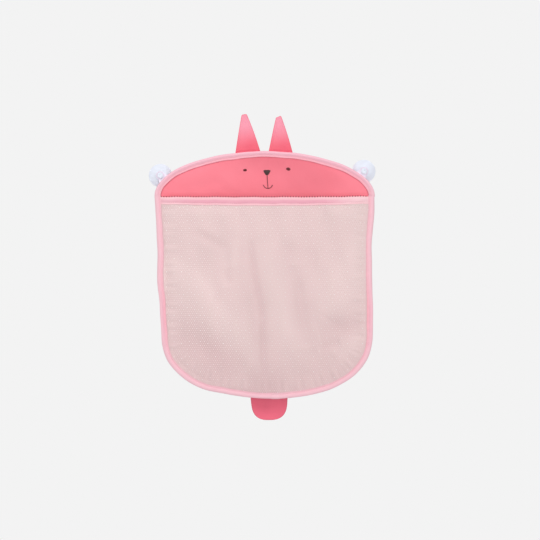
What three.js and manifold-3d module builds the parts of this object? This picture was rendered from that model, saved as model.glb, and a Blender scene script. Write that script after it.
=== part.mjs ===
// Bath toy organizer: a flat net bag that hangs on a tiled wall by two suction cups.
// A tape folded over the whole edge holds four sheets: a cloth face panel and its lining above the
// mouth, and a back net and a slack front net below it, which make the pocket. Ears, a tail tab and
// two hanging tabs are sewn to the bound edge. Each hanging tab carries a suction cup by its neck.
//
// Millimetres, +Z up. The front faces -Y and the wall's surface is the plane y = 0. The origin lies
// on that surface, on the bag's centre line, at the height of the suction cups.
import * as THREE from "three";
import { mergeVertices } from "three/addons/utils/BufferGeometryUtils.js";
import Module from "manifold-3d";

const wasm = await Module();
wasm.setup();

// Bag outline: a half-ellipse dome, two nearly straight sides and a squarer half-ellipse bottom
const BAG_WIDTH = 380;
const DOME_RISE = 78;
const SIDE_LENGTH = 242;
const BOTTOM_DROP = 108;
const BOTTOM_WIDTH = 366;
const BOTTOM_SQUARE_SHARE = 0.034; // how much farther out than the half-ellipse its corners lie
const HANG_LEAN = 4.5; // how far the slack lower half hangs to one side
const MOUTH_Z = -39; // the mouth line, where the dome springs from the sides
const DOME_STEPS = 30;
const SIDE_STEPS = 7;
const BOTTOM_STEPS = 28;

// Sheets, and the clearance between neighbours
const CLOTH_THICKNESS = 0.8;
const NET_THICKNESS = 0.8;
const LAYER_GAP = 0.3;

// Edge binding: one tape folded over the edges of all the sheets
const TAPE_WIDTH = 10.5;
const TAPE_THICKNESS = 0.9;
const SLOT_CLEARANCE = 1; // from the sheets' edges to the bottom of the fold
const FOLD_STEPS = 6;

// Mouth tape: a narrower tape folded over the pocket's top edge
const MOUTH_TAPE_HEIGHT = 13.5;
const MOUTH_STEPS = 26;

// Pocket: how far the front net stands off the back, and the creases it hangs in
const MOUTH_DEPTH = 22;
const BELLY_DEPTH = 18; // what the belly adds half-way down
const FLAT_RUN = 2; // how far the net stays flat past the binding
const FULLNESS_SHARE = 0.75; // lower is fuller towards the sides
const MAIN_CREASE_DEPTH = 7;
const MAIN_CREASE_WIDTH = 24;
const MAIN_CREASE_ACROSS_SHARES = [-0.15, 0]; // of half the bag's width, at its top and its foot
const MAIN_CREASE_DOWN_SHARES = [0.27, 0.8]; // of the pocket's height
const SIDE_CREASE_DEPTH = 4;
const SIDE_CREASE_WIDTH = 20;
const SIDE_CREASE_ACROSS_SHARES = [0.31, 0.46];
const SIDE_CREASE_DOWN_SHARES = [0.45, 0.78];

// Net: six-sided openings
const NET_PITCH = 30;
const NET_BAR = 6.5;
const OPENING_CORNERS = 6;
const SELVEDGE = 6; // closed net between the mouth tape and the first openings
const NET_MARGIN = 3; // from the binding to the nearest opening
const EVEN_SHARE = 1.000001; // of half a turn, so that square cells stay as they are

// Face panel: the flap behind the mouth, sewn over the back net, and the stitched features
const FLAP_DROP = 8;
const FLAP_MARGIN = 10;
const STITCH_THICKNESS = 0.7;
const FACE_X = 3.8;
const EYE_SPACING = 75;
const EYE_Z = 7.2;
const EYE_WIDTH = 6.4;
const EYE_HEIGHT = 5;
const EYE_STEPS = 16;
const NOSE_WIDTH = 12;
const NOSE_HEIGHT = 9;
const NOSE_ROUND = 2.2;
const NOSE_STEPS = 4;
const NOSE_Z = 6.4; // the nose's top edge
const LINE_WIDTH = 1.9;
const STEM_LENGTH = 21;
const SMILE_WIDTH = 16.5;
const SMILE_SAG = 5.6;
const SMILE_STEPS = 12;

// Ears: two cloth plies each, their edges turned in
const EAR_PLY = 1;
const EAR_BASE = 42;
const EAR_TIP = 9;
const LEFT_EAR_X = -28.7;
const LEFT_EAR_HEIGHT = 65;
const LEFT_EAR_SHIFT = -3.5; // how far the tip stands to one side of the base's middle
const RIGHT_EAR_X = 28.5;
const RIGHT_EAR_HEIGHT = 61;
const RIGHT_EAR_SHIFT = -8;
const TIP_ACROSS_SHARES = [0.5, 0.42, 0.1, -0.28, -0.5];
const TIP_UP_SHARES = [0.955, 0.985, 1, 0.995, 0.96];

// Tail tab: two cloth plies
const TAIL_PLY = 1;
const TAIL_WIDTH = 63;
const TAIL_DROP = 37;
const TAIL_X = 8.2;
const TAIL_CORNER_SHARE = 0.77; // 1 is a half-ellipse, and lower is squarer
const TAIL_STEPS = 24;

// Hanging tabs: doubled ribbon with an eye for the cup's neck
const TAB_PLY = 0.8;
const TAB_BASE = 22;
const TAB_REACH = 7.5; // from the bound edge to the neck
const TAB_END_RADIUS = 7.4;
const TAB_END_STEPS = 14;
const LEFT_TAB_ANGLE = 157; // places on the dome, in degrees from its right springing
const RIGHT_TAB_ANGLE = 28.5;
const EYE_HOLE_CLEARANCE = 0.4;
const EYE_HOLE_SEGMENTS = 24;
const CUT_OVERRUN = 2;

const SEAM_STEPS = 6; // along each flap's seam edge
const ROUND_STEPS = 3; // round each ply's turned edge

// Suction cups: a bell with a flat sealing lip, a collar, a neck and a mushroom knob
const CUP_RADIUS = 20;
const LIP_WIDTH = 1.6;
const LIP_THICKNESS = 0.9;
const BELL_HEIGHT = 8.5;
const BELL_POWER = 1.6;
const HOLLOW_DEPTH = 6;
const COLLAR_RADIUS = 6;
const COLLAR_HEIGHT = 1.5;
const NECK_RADIUS = 3.2;
const NECK_LENGTH = 3.8;
const KNOB_RADIUS = 5.2;
const KNOB_HEIGHT = 4;
const KNOB_ROUND = 1.4;
const DIMPLE_RADIUS = 1.9;
const DIMPLE_DEPTH = 1.2;
const BELL_STEPS = 7;
const CUP_SEGMENTS = 32;

// Levels from the wall outwards
const neckStartY = -(BELL_HEIGHT + COLLAR_HEIGHT);
const midY = neckStartY - NECK_LENGTH / 2; // the middle of the bound edge and of the tabs
const rearLayerY = midY + LAYER_GAP / 2; // front face of the rear sheets
const frontLayerY = midY - LAYER_GAP / 2; // rear face of the front sheets
const edgeSlotHalf = LAYER_GAP / 2 + Math.max(CLOTH_THICKNESS, NET_THICKNESS) + LAYER_GAP;
const mouthSlotHalf = NET_THICKNESS / 2 + LAYER_GAP;

// Heights and insets of the sheets
const sheetInset = TAPE_THICKNESS + SLOT_CLEARANCE;
const flatBorder = TAPE_WIDTH + LAYER_GAP;
const pocketTopZ = MOUTH_Z - TAPE_THICKNESS - LAYER_GAP;
const hemZ = MOUTH_Z - MOUTH_TAPE_HEIGHT; // the mouth tape's lower edge
const lowZ = MOUTH_Z - SIDE_LENGTH; // where the sides meet the bottom

const dome = { half: BAG_WIDTH / 2, rise: DOME_RISE, x: 0, z: MOUTH_Z, square: 0 };
const bottom = {
  half: BOTTOM_WIDTH / 2,
  rise: BOTTOM_DROP,
  x: HANG_LEAN,
  z: lowZ,
  square: BOTTOM_SQUARE_SHARE,
};

const vec = (x, y) => new THREE.Vector2(x, y);
const flat = () => 0;

// Bag outline

// A place on a half-ellipse whose corners are drawn out a little
function ellipsePoint({ half, rise, x, z, square }, angle) {
  const reach = 1 + square * Math.sin(2 * angle) ** 2;
  return vec(x + half * reach * Math.cos(angle), z + rise * reach * Math.sin(angle));
}

// Points between two corners of the outline, from the first up to the second, which is left out
function straight(from, to, steps) {
  return Array.from({ length: steps }, (_, i) => from.clone().lerp(to, i / steps));
}

// Samples { p, out } anticlockwise from the dome's right springing. Both sides have a sample at the
// lower edge of the mouth tape.
function bagOutline() {
  const hemShare = MOUTH_TAPE_HEIGHT / SIDE_LENGTH;
  const [left, right] = [Math.PI, 0].map((angle) => ({
    top: ellipsePoint(dome, angle),
    foot: ellipsePoint(bottom, angle),
  }));
  const leftHem = left.top.clone().lerp(left.foot, hemShare);
  const rightHem = right.top.clone().lerp(right.foot, hemShare);
  const points = [];
  for (let i = 0; i < DOME_STEPS; i++) points.push(ellipsePoint(dome, (Math.PI * i) / DOME_STEPS));
  points.push(left.top, ...straight(leftHem, left.foot, SIDE_STEPS));
  for (let i = 0; i < BOTTOM_STEPS; i++) {
    points.push(ellipsePoint(bottom, Math.PI * (1 + i / BOTTOM_STEPS)));
  }
  points.push(...straight(right.foot, rightHem, SIDE_STEPS), rightHem);
  return points.map((p, i) => {
    const along = points[(i + 1) % points.length].clone().sub(points.at(i - 1)).normalize();
    return { p, out: vec(along.y, -along.x) };
  });
}

const outline = bagOutline();
const leftSpringing = DOME_STEPS;

function inset(index, distance) {
  const { p, out } = outline[index % outline.length];
  return p.clone().addScaledVector(out, -distance);
}

// The dome's outline moved in by a distance, its two ends level just above the mouth line
function headContour(distance) {
  const points = [];
  for (let i = 0; i <= leftSpringing; i++) points.push(inset(i, distance));
  for (const p of [points[0], points.at(-1)]) p.y = MOUTH_Z + LAYER_GAP / 2;
  return points;
}

// The rest of the outline moved in, from the left end of the mouth round to its right end
function pocketContour(distance) {
  const points = [];
  for (let i = leftSpringing; i <= outline.length; i++) points.push(inset(i, distance));
  for (const p of [points[0], points.at(-1)]) p.y = pocketTopZ;
  for (const p of [points[1], points.at(-2)]) p.y = hemZ;
  return points;
}

// Pocket shape

const bellyFootZ = lowZ - BOTTOM_DROP + flatBorder + FLAT_RUN;

// How far down the sides a height lies, from 0 at the mouth to 1, and the net's middle there
const sideShare = (z) => THREE.MathUtils.clamp((MOUTH_Z - z) / SIDE_LENGTH, 0, 1);
const middleX = (z) => HANG_LEAN * sideShare(z);

function slackHalfWidth(z) {
  const half = THREE.MathUtils.lerp(BAG_WIDTH, BOTTOM_WIDTH, sideShare(z)) / 2;
  const below = Math.max(0, lowZ - z) / (lowZ - bellyFootZ);
  return (half - flatBorder - FLAT_RUN) * Math.sqrt(Math.max(0, 1 - below * below));
}

// The depth at (x, z) of a crease that runs straight from its top to its foot
function creaseDepth(x, z, depth, width, acrossShares, downShares) {
  const [topX, footX] = acrossShares.map((share) => (BAG_WIDTH / 2) * share);
  const [topZ, footZ] = downShares.map((share) => MOUTH_Z + (bellyFootZ - MOUTH_Z) * share);
  const share = (topZ - z) / (topZ - footZ);
  const away = (x - THREE.MathUtils.lerp(topX, footX, share)) / width;
  const along = Math.sin(Math.PI * THREE.MathUtils.clamp(share, 0, 1));
  return depth * along * Math.exp(-away * away);
}

const mainCrease = (x, z) =>
  creaseDepth(
    x,
    z,
    MAIN_CREASE_DEPTH,
    MAIN_CREASE_WIDTH,
    MAIN_CREASE_ACROSS_SHARES,
    MAIN_CREASE_DOWN_SHARES,
  );

const sideCrease = (x, z) =>
  creaseDepth(
    x,
    z,
    SIDE_CREASE_DEPTH,
    SIDE_CREASE_WIDTH,
    SIDE_CREASE_ACROSS_SHARES,
    SIDE_CREASE_DOWN_SHARES,
  );

// How far the front net stands forward of the bound edge at (x, z)
function pocketBulge(x, z) {
  const half = slackHalfWidth(z);
  const across = half > 0 ? Math.min(1, Math.abs(x - middleX(z)) / half) : 1;
  const up = THREE.MathUtils.clamp((z - bellyFootZ) / (MOUTH_Z - bellyFootZ), 0, 1);
  const hang = MOUTH_DEPTH * up + BELLY_DEPTH * Math.sin(Math.PI * up);
  const full = hang * (1 - across * across) ** FULLNESS_SHARE;
  return Math.max(0, full - mainCrease(x, z) - sideCrease(x, z));
}

// Solids

function geometryOf(positions, index) {
  const geometry = new THREE.BufferGeometry();
  geometry.setAttribute("position", new THREE.Float32BufferAttribute(positions, 3));
  geometry.setIndex(index);
  geometry.computeVertexNormals();
  return geometry;
}

const turnOf = (a, b, c) => b.clone().sub(a).cross(c.clone().sub(a));

// A sheet between a rear face and a front face, both triangulated alike. The loops are its outer
// edge, anticlockwise, and its openings, clockwise, as lists of point numbers.
function sheetSolid({ points, triangles, loops }, rearY, thickness, bulge = flat) {
  const positions = [];
  for (const offset of [0, thickness]) {
    for (const p of points) positions.push(p.x, rearY - offset - bulge(p.x, p.y), p.y);
  }
  const count = points.length;
  const index = [];
  for (const [a, b, c] of triangles) {
    const [q, r] = turnOf(points[a], points[b], points[c]) > 0 ? [b, c] : [c, b];
    index.push(a + count, q + count, r + count, a, r, q);
  }
  for (const loop of loops) {
    loop.forEach((a, i) => {
      const b = loop[(i + 1) % loop.length];
      index.push(a + count, a, b, a + count, b, b + count);
    });
  }
  return geometryOf(positions, index);
}

// A flat sheet cut to one anticlockwise contour
function cutSheet(contour, rearY, thickness) {
  const triangles = THREE.ShapeUtils.triangulateShape(contour, []);
  return sheetSolid({ points: contour, triangles, loops: [[...contour.keys()]] }, rearY, thickness);
}

// A tape folded lengthways: its section as [distance from the fold, offset from the middle]
function foldSection(width, slotHalf) {
  const half = slotHalf + TAPE_THICKNESS;
  const section = [[width, -half]];
  for (let k = 0; k <= FOLD_STEPS; k++) {
    const angle = (Math.PI * k) / FOLD_STEPS;
    section.push([half * (1 - Math.sin(angle)), -half * Math.cos(angle)]);
  }
  section.push([width, half], [width, slotHalf]);
  section.push([TAPE_THICKNESS, slotHalf], [TAPE_THICKNESS, -slotHalf]);
  section.push([width, -slotHalf]);
  return section;
}

// Joins copies of a section into a solid. Each ring lists the section's points as [x, y, z], and an
// open run gets flat ends.
function sweptSolid(rings, section, closed) {
  const size = section.length;
  const index = [];
  for (let i = 0; i < (closed ? rings.length : rings.length - 1); i++) {
    const [near, far] = [i * size, ((i + 1) % rings.length) * size];
    for (let k = 0; k < size; k++) {
      const beside = (k + 1) % size;
      index.push(near + k, near + beside, far + beside, near + k, far + beside, far + k);
    }
  }
  if (!closed) {
    const face = section.map(([distance, offset]) => vec(distance, offset));
    const last = (rings.length - 1) * size;
    for (const [a, b, c] of THREE.ShapeUtils.triangulateShape(face, [])) {
      const [q, r] = turnOf(face[a], face[b], face[c]) > 0 ? [b, c] : [c, b];
      index.push(a, q, r, a + last, r + last, q + last);
    }
  }
  return geometryOf(rings.flat(2), index);
}

// Binding and mouth tape

function edgeBinding() {
  const section = foldSection(TAPE_WIDTH, edgeSlotHalf);
  const rings = outline.map((_, i) =>
    section.map(([distance, offset]) => {
      const p = inset(i, distance);
      return [p.x, midY + offset, p.y];
    }),
  );
  return sweptSolid(rings, section, true);
}

// The mouth tape starts where the net has come far enough forward for its rear half to clear the
// sheets behind it.
function mouthTapeSetback() {
  const room = mouthSlotHalf + TAPE_THICKNESS - NET_THICKNESS / 2 + LAYER_GAP;
  const across = Math.sqrt(1 - Math.min(1, room / MOUTH_DEPTH) ** (1 / FULLNESS_SHARE));
  return FLAT_RUN + slackHalfWidth(MOUTH_Z) * (1 - across);
}

// The mouth's stations at a height, from left to right, between the ends of the mouth tape
function mouthStations(level) {
  const [left, right] = [leftSpringing, outline.length].map((i) => inset(i, flatBorder).x);
  const drift = ((BAG_WIDTH - BOTTOM_WIDTH) / 2) * sideShare(level);
  const setback = mouthTapeSetback() + drift;
  const stations = [];
  for (let i = 0; i <= MOUTH_STEPS; i++) {
    const x = THREE.MathUtils.lerp(left + setback, right - setback, i / MOUTH_STEPS);
    stations.push(vec(x + middleX(level), level));
  }
  return stations;
}

// A folded tape that follows the front net
function mouthTape() {
  const section = foldSection(MOUTH_TAPE_HEIGHT, mouthSlotHalf);
  const [upper, lower] = [mouthStations(MOUTH_Z), mouthStations(hemZ)];
  const rings = upper.map((p, i) =>
    section.map(([distance, offset]) => {
      const at = p.clone().lerp(lower[i], distance / MOUTH_TAPE_HEIGHT);
      const y = frontLayerY - NET_THICKNESS / 2 + offset - pocketBulge(at.x, at.y);
      return [at.x, y, at.y];
    }),
  );
  return sweptSolid(rings.reverse(), section, false);
}

// Nets

function insideOf(point, contour) {
  let inside = false;
  contour.forEach((a, i) => {
    const b = contour[(i + 1) % contour.length];
    if (a.y > point.y !== b.y > point.y) {
      const x = a.x + ((b.x - a.x) * (point.y - a.y)) / (b.y - a.y);
      if (point.x < x) inside = !inside;
    }
  });
  return inside;
}

// Openings on a staggered grid, clear of the binding and of the mouth tape. A cell's corners run
// clockwise from its top one, and its key gives its column in half pitches and its row.
function netCells() {
  const limits = pocketContour(flatBorder + NET_MARGIN);
  const radius = (NET_PITCH - NET_BAR) / Math.sqrt(3);
  const rowHeight = (NET_PITCH * Math.sqrt(3)) / 2;
  const firstZ = hemZ - SELVEDGE - radius;
  const columns = Math.ceil(BAG_WIDTH / NET_PITCH);
  const rows = Math.ceil((SIDE_LENGTH + BOTTOM_DROP) / rowHeight);
  const cells = new Map();
  for (let row = 0; row < rows; row++) {
    for (let column = -columns + (row % 2); column <= columns; column += 2) {
      const centre = vec(HANG_LEAN / 2 + (column * NET_PITCH) / 2, firstZ - row * rowHeight);
      const corners = Array.from({ length: OPENING_CORNERS }, (_, k) => {
        const angle = Math.PI / 2 - (2 * Math.PI * k) / OPENING_CORNERS;
        return centre.clone().add(vec(radius * Math.cos(angle), radius * Math.sin(angle)));
      });
      if (corners.every((corner) => insideOf(corner, limits))) cells.set(`${column},${row}`, corners);
    }
  }
  return cells;
}

// The strands between neighbouring cells, as polygons of point numbers
function netStrands(cells, numbers) {
  const strands = [];
  for (const key of cells.keys()) {
    const [column, row] = key.split(",").map(Number);
    const a = numbers.get(key);
    const right = numbers.get(`${column + 2},${row}`);
    const lowerRight = numbers.get(`${column + 1},${row + 1}`);
    const lowerLeft = numbers.get(`${column - 1},${row + 1}`);
    if (right) strands.push([a[1], a[2], right[4], right[5]]);
    if (lowerRight) strands.push([a[3], lowerRight[5], lowerRight[0], a[2]]);
    if (lowerLeft) strands.push([a[4], lowerLeft[0], lowerLeft[1], a[3]]);
    if (right && lowerRight) strands.push([a[2], lowerRight[0], right[4]]);
    if (lowerLeft && lowerRight) strands.push([a[3], lowerLeft[1], lowerRight[5]]);
  }
  return strands;
}

// The edge of the patch that anticlockwise polygons cover together
function patchEdge(polygons) {
  const next = new Map();
  for (const polygon of polygons) {
    polygon.forEach((a, i) => {
      const b = polygon[(i + 1) % polygon.length];
      if (next.get(b)?.delete(a)) return;
      if (!next.has(a)) next.set(a, new Set());
      next.get(a).add(b);
    });
  }
  const start = [...next.keys()].find((a) => next.get(a).size);
  const edge = [start];
  for (let [at] = next.get(start); at !== start; [at] = next.get(at)) edge.push(at);
  return edge;
}

// Turns the shared edges of anticlockwise triangles until the corners that face each one make no more
// than half a turn together, so that no sliver cuts across the bulge.
function evened(points, triangles) {
  const facing = (at, a, b) => {
    const [from, to] = [a, b].map((i) => points[i].clone().sub(points[at]));
    return from.angleTo(to);
  };
  const leads = (triangle, from, to) => triangle[(triangle.indexOf(from) + 1) % 3] === to;
  const queue = [...triangles];
  while (queue.length) {
    const triangle = queue.pop();
    for (let turn = 0; turn < 3; turn++) {
      const [a, b, c] = triangle;
      const other = triangles.find((next) => next.includes(b) && leads(next, b, a));
      const d = other?.find((i) => i !== a && i !== b);
      if (other && facing(c, a, b) + facing(d, a, b) > Math.PI * EVEN_SHARE) {
        triangle.splice(0, 3, c, a, d);
        other.splice(0, 3, d, b, c);
        queue.push(triangle, other);
        break;
      }
      triangle.push(triangle.shift());
    }
  }
  return triangles;
}

// A net panel: a flat border in the binding, a closed strip under the mouth tape, and open net
function netPanel() {
  const points = [];
  const put = (list) => list.map((p) => points.push(p) - 1);
  const outer = put(pocketContour(sheetInset));
  const inner = put(pocketContour(flatBorder));
  const top = [inner[0], ...put(mouthStations(pocketTopZ)), inner.at(-1)];
  const hem = [inner[1], ...put(mouthStations(hemZ)), inner.at(-2)];
  const cells = netCells();
  const numbers = new Map();
  for (const [key, corners] of cells) numbers.set(key, put(corners));
  const openings = [...numbers.values()];
  const strands = netStrands(cells, numbers);
  const field = [...inner.slice(1, -1), ...hem.slice(1, -1).reverse()];
  const patch = patchEdge([...strands, ...openings.map((corners) => corners.toReversed())]);
  const at = (numbersOf) => numbersOf.map((i) => points[i]);
  const around = [...field, ...patch];
  const margin = THREE.ShapeUtils.triangulateShape(at(field), [at(patch)]).map((triangle) => {
    const [a, b, c] = triangle.map((i) => around[i]);
    return turnOf(points[a], points[b], points[c]) > 0 ? [a, b, c] : [a, c, b];
  });
  const quads = [];
  for (let i = 0; i + 1 < outer.length; i++) {
    quads.push([outer[i], outer[i + 1], inner[i + 1], inner[i]]);
  }
  for (let i = 0; i + 1 < top.length; i++) quads.push([top[i], hem[i], hem[i + 1], top[i + 1]]);
  const triangles = evened(points, margin);
  for (const [a, b, c, d] of [...strands, ...quads]) {
    triangles.push([a, b, c]);
    if (d !== undefined) triangles.push([a, c, d]);
  }
  const edge = [...outer, ...top.toReversed()];
  return { points, triangles, loops: [edge, ...openings] };
}

// Face panel: the dome, with a flap below the mouth line that stays clear of the binding

function facePanel() {
  const contour = headContour(sheetInset);
  const right = inset(0, flatBorder + FLAP_MARGIN).x;
  const left = inset(leftSpringing, flatBorder + FLAP_MARGIN).x;
  const level = contour[0].y;
  const foot = MOUTH_Z - FLAP_DROP;
  contour.push(vec(left, level), vec(left, foot), vec(right, foot), vec(right, level));
  return cutSheet(contour, frontLayerY, CLOTH_THICKNESS);
}

// Flaps sewn to the bound edge

// A place on the dome or the bottom, and the directions out of the bag and along its edge there
function seamAt(ellipse, angle) {
  const { half, rise } = ellipse;
  const out = vec(Math.cos(angle) / half, Math.sin(angle) / rise).normalize();
  const speed = Math.hypot(half * Math.sin(angle), rise * Math.cos(angle));
  const point = ellipsePoint(ellipse, angle).addScaledVector(out, LAYER_GAP);
  return { ellipse, angle, point, out, along: vec(out.y, -out.x), speed };
}

// A point so far along the edge and so far out from a seam's middle
const fromSeam = ({ point, out, along }, u, v) =>
  point.clone().addScaledVector(along, u).addScaledVector(out, v);

// The seam edge of a flap, which follows the bound edge against the sense of the flap's own edge
function seamEdge({ ellipse, angle, speed }, width) {
  const edge = [];
  for (let i = SEAM_STEPS; i >= 0; i--) {
    edge.push(seamAt(ellipse, angle + (width / speed) * (i / SEAM_STEPS - 1 / 2)).point);
  }
  return edge;
}

// Moves each corner of an anticlockwise contour in, so that every edge shifts by the distance
function shrunk(contour, distance) {
  return contour.map((p, i) => {
    const into = p.clone().sub(contour.at(i - 1)).normalize();
    const onwards = contour[(i + 1) % contour.length].clone().sub(p).normalize();
    const left = vec(-into.y, into.x);
    const right = vec(-onwards.y, onwards.x);
    const scale = distance / (1 + left.dot(right));
    return p.clone().addScaledVector(left, scale).addScaledVector(right, scale);
  });
}

// A ply with a flat face at y and an edge that rounds over towards its other face. The side is -1
// for a ply in front of y and 1 for a ply behind it.
function turnedPly(contour, y, thickness, side) {
  const count = contour.length;
  const positions = [];
  const index = [];
  const face = (a, b, c) => index.push(...(side < 0 ? [a, b, c] : [a, c, b]));
  for (let k = 0; k <= ROUND_STEPS; k++) {
    const angle = (Math.PI / 2) * (k / ROUND_STEPS);
    const level = y + side * thickness * Math.sin(angle);
    for (const p of shrunk(contour, thickness * (1 - Math.cos(angle)))) {
      positions.push(p.x, level, p.y);
    }
  }
  for (let k = 0; k < ROUND_STEPS; k++) {
    for (let i = 0; i < count; i++) {
      const beside = (i + 1) % count;
      const [low, high] = [k * count, (k + 1) * count];
      face(low + i, low + beside, high + beside);
      face(low + i, high + beside, high + i);
    }
  }
  const last = ROUND_STEPS * count;
  for (const [a, b, c] of THREE.ShapeUtils.triangulateShape(contour, [])) {
    const [q, r] = turnOf(contour[a], contour[b], contour[c]) > 0 ? [b, c] : [c, b];
    face(a + last, q + last, r + last);
    face(a, r, q);
  }
  return geometryOf(positions, index);
}

function earContour(x, height, shift) {
  const seam = seamAt(dome, Math.acos(x / (BAG_WIDTH / 2)));
  const tip = TIP_ACROSS_SHARES.map((share, i) =>
    fromSeam(seam, shift + EAR_TIP * share, height * TIP_UP_SHARES[i]),
  );
  return [...seamEdge(seam, EAR_BASE), ...tip];
}

function tailContour() {
  const angle = 2 * Math.PI - Math.acos((TAIL_X - HANG_LEAN) / (BOTTOM_WIDTH / 2));
  const seam = seamAt(bottom, angle);
  const rounded = (value) => Math.sign(value) * Math.abs(value) ** TAIL_CORNER_SHARE;
  const edge = [];
  for (let i = 1; i < TAIL_STEPS; i++) {
    const turn = (Math.PI * i) / TAIL_STEPS;
    const u = (TAIL_WIDTH / 2) * rounded(Math.cos(turn));
    edge.push(fromSeam(seam, u, TAIL_DROP * rounded(Math.sin(turn))));
  }
  return [...seamEdge(seam, TAIL_WIDTH), ...edge];
}

// The round end runs on past a half circle, to where a straight edge from the seam touches it
function tabContour(seam) {
  const overrun = Math.asin(TAB_END_RADIUS / Math.hypot(TAB_BASE / 2, TAB_REACH)) / 2;
  const end = [];
  for (let i = 0; i <= TAB_END_STEPS; i++) {
    const turn = ((Math.PI + 2 * overrun) * i) / TAB_END_STEPS - overrun;
    const u = TAB_END_RADIUS * Math.cos(turn);
    end.push(fromSeam(seam, u, TAB_REACH + TAB_END_RADIUS * Math.sin(turn)));
  }
  return [...seamEdge(seam, TAB_BASE), ...end];
}

// Booleans

function manifoldOf(geometry) {
  const bare = geometry.clone();
  for (const name of Object.keys(bare.attributes)) {
    if (name !== "position") bare.deleteAttribute(name);
  }
  const merged = mergeVertices(bare);
  return new wasm.Manifold(
    new wasm.Mesh({
      numProp: 3,
      vertProperties: new Float32Array(merged.attributes.position.array),
      triVerts: new Uint32Array(merged.index.array),
    }),
  );
}

function geometryFrom(manifold) {
  const mesh = manifold.getMesh();
  return geometryOf([...mesh.vertProperties], [...mesh.triVerts]);
}

function hangingTab(seam) {
  const contour = tabContour(seam);
  const [front, back] = [-1, 1].map((side) => manifoldOf(turnedPly(contour, midY, TAB_PLY, side)));
  const neck = fromSeam(seam, 0, TAB_REACH);
  const radius = NECK_RADIUS + EYE_HOLE_CLEARANCE;
  const depth = 2 * TAB_PLY + CUT_OVERRUN;
  const hole = new THREE.CylinderGeometry(radius, radius, depth, EYE_HOLE_SEGMENTS);
  hole.translate(neck.x, midY, neck.y);
  return geometryFrom(front.add(back).subtract(manifoldOf(hole)));
}

// A cup turned about its own axis: half its section, from the knob's dimple down the outside,
// round the lip and up into the hollow.
function suctionCup() {
  const knobStartY = neckStartY - NECK_LENGTH;
  const knobTopY = knobStartY - KNOB_HEIGHT;
  const profile = [
    [0, knobTopY + DIMPLE_DEPTH],
    [DIMPLE_RADIUS, knobTopY],
    [KNOB_RADIUS - KNOB_ROUND, knobTopY],
    [KNOB_RADIUS, knobTopY + KNOB_ROUND],
    [KNOB_RADIUS, knobStartY],
    [NECK_RADIUS, knobStartY],
    [NECK_RADIUS, neckStartY],
    [COLLAR_RADIUS, neckStartY],
  ];
  for (let i = 0; i <= BELL_STEPS; i++) {
    const share = i / BELL_STEPS;
    const radius = THREE.MathUtils.lerp(COLLAR_RADIUS, CUP_RADIUS, share);
    profile.push([radius, -THREE.MathUtils.lerp(BELL_HEIGHT, LIP_THICKNESS, share ** BELL_POWER)]);
  }
  profile.push([CUP_RADIUS, 0]);
  for (let i = BELL_STEPS; i >= 0; i--) {
    const share = i / BELL_STEPS;
    profile.push([(CUP_RADIUS - LIP_WIDTH) * share, -HOLLOW_DEPTH * (1 - share * share)]);
  }
  return new THREE.LatheGeometry(profile.map(([radius, y]) => vec(radius, y)), CUP_SEGMENTS);
}

// Stitched features, one layer gap in front of the face panel

const stitched = (contour) =>
  cutSheet(contour, frontLayerY - CLOTH_THICKNESS - LAYER_GAP, STITCH_THICKNESS);

function eye(side) {
  const centreX = FACE_X + (side * EYE_SPACING) / 2;
  const contour = [];
  for (let i = 0; i < EYE_STEPS; i++) {
    const angle = (2 * Math.PI * i) / EYE_STEPS;
    const [u, v] = [(EYE_WIDTH / 2) * Math.cos(angle), (EYE_HEIGHT / 2) * Math.sin(angle)];
    contour.push(vec(centreX + u, EYE_Z + v));
  }
  return stitched(contour);
}

// An upside-down triangle with round corners
function nose() {
  const [left, right] = [FACE_X - NOSE_WIDTH / 2, FACE_X + NOSE_WIDTH / 2];
  const foot = NOSE_Z - NOSE_HEIGHT;
  const shape = new THREE.Shape();
  shape.moveTo(right - NOSE_ROUND, NOSE_Z);
  shape.lineTo(left + NOSE_ROUND, NOSE_Z);
  shape.quadraticCurveTo(left, NOSE_Z, left, NOSE_Z - NOSE_ROUND);
  shape.lineTo(FACE_X - NOSE_ROUND / 2, foot + NOSE_ROUND / 2);
  shape.quadraticCurveTo(FACE_X, foot, FACE_X + NOSE_ROUND / 2, foot + NOSE_ROUND / 2);
  shape.lineTo(right, NOSE_Z - NOSE_ROUND);
  shape.quadraticCurveTo(right, NOSE_Z, right - NOSE_ROUND, NOSE_Z);
  return stitched(shape.extractPoints(NOSE_STEPS).shape.slice(0, -1));
}

// The mouth: a stem below the nose that ends on a shallow smile, in one outline
function mouth() {
  const half = LINE_WIDTH / 2;
  const stemTopZ = NOSE_Z - NOSE_HEIGHT - LAYER_GAP;
  const smileZ = stemTopZ - STEM_LENGTH;
  const smileEdge = (share, offset) => {
    const slope = (4 * SMILE_SAG * share) / SMILE_WIDTH;
    const centre = vec(FACE_X + (SMILE_WIDTH / 2) * share, smileZ + SMILE_SAG * share * share);
    return centre.addScaledVector(vec(-slope, 1).normalize(), offset);
  };
  const shares = Array.from({ length: SMILE_STEPS + 1 }, (_, i) => (2 * i) / SMILE_STEPS - 1);
  const lower = shares.map((share) => smileEdge(share, -half));
  const upper = shares.toReversed().map((share) => smileEdge(share, half));
  const right = upper.filter((p) => p.x > FACE_X + half);
  const left = upper.filter((p) => p.x < FACE_X - half);
  const stem = [vec(half, smileZ + half), vec(half, stemTopZ), vec(-half, stemTopZ)];
  stem.push(vec(-half, smileZ + half));
  return stitched([...lower, ...right, ...stem.map((p) => p.setX(p.x + FACE_X)), ...left]);
}

// Materials

const finish = (color, roughness, more = {}) =>
  new THREE.MeshStandardMaterial({ color, roughness, metalness: 0, ...more });

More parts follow.
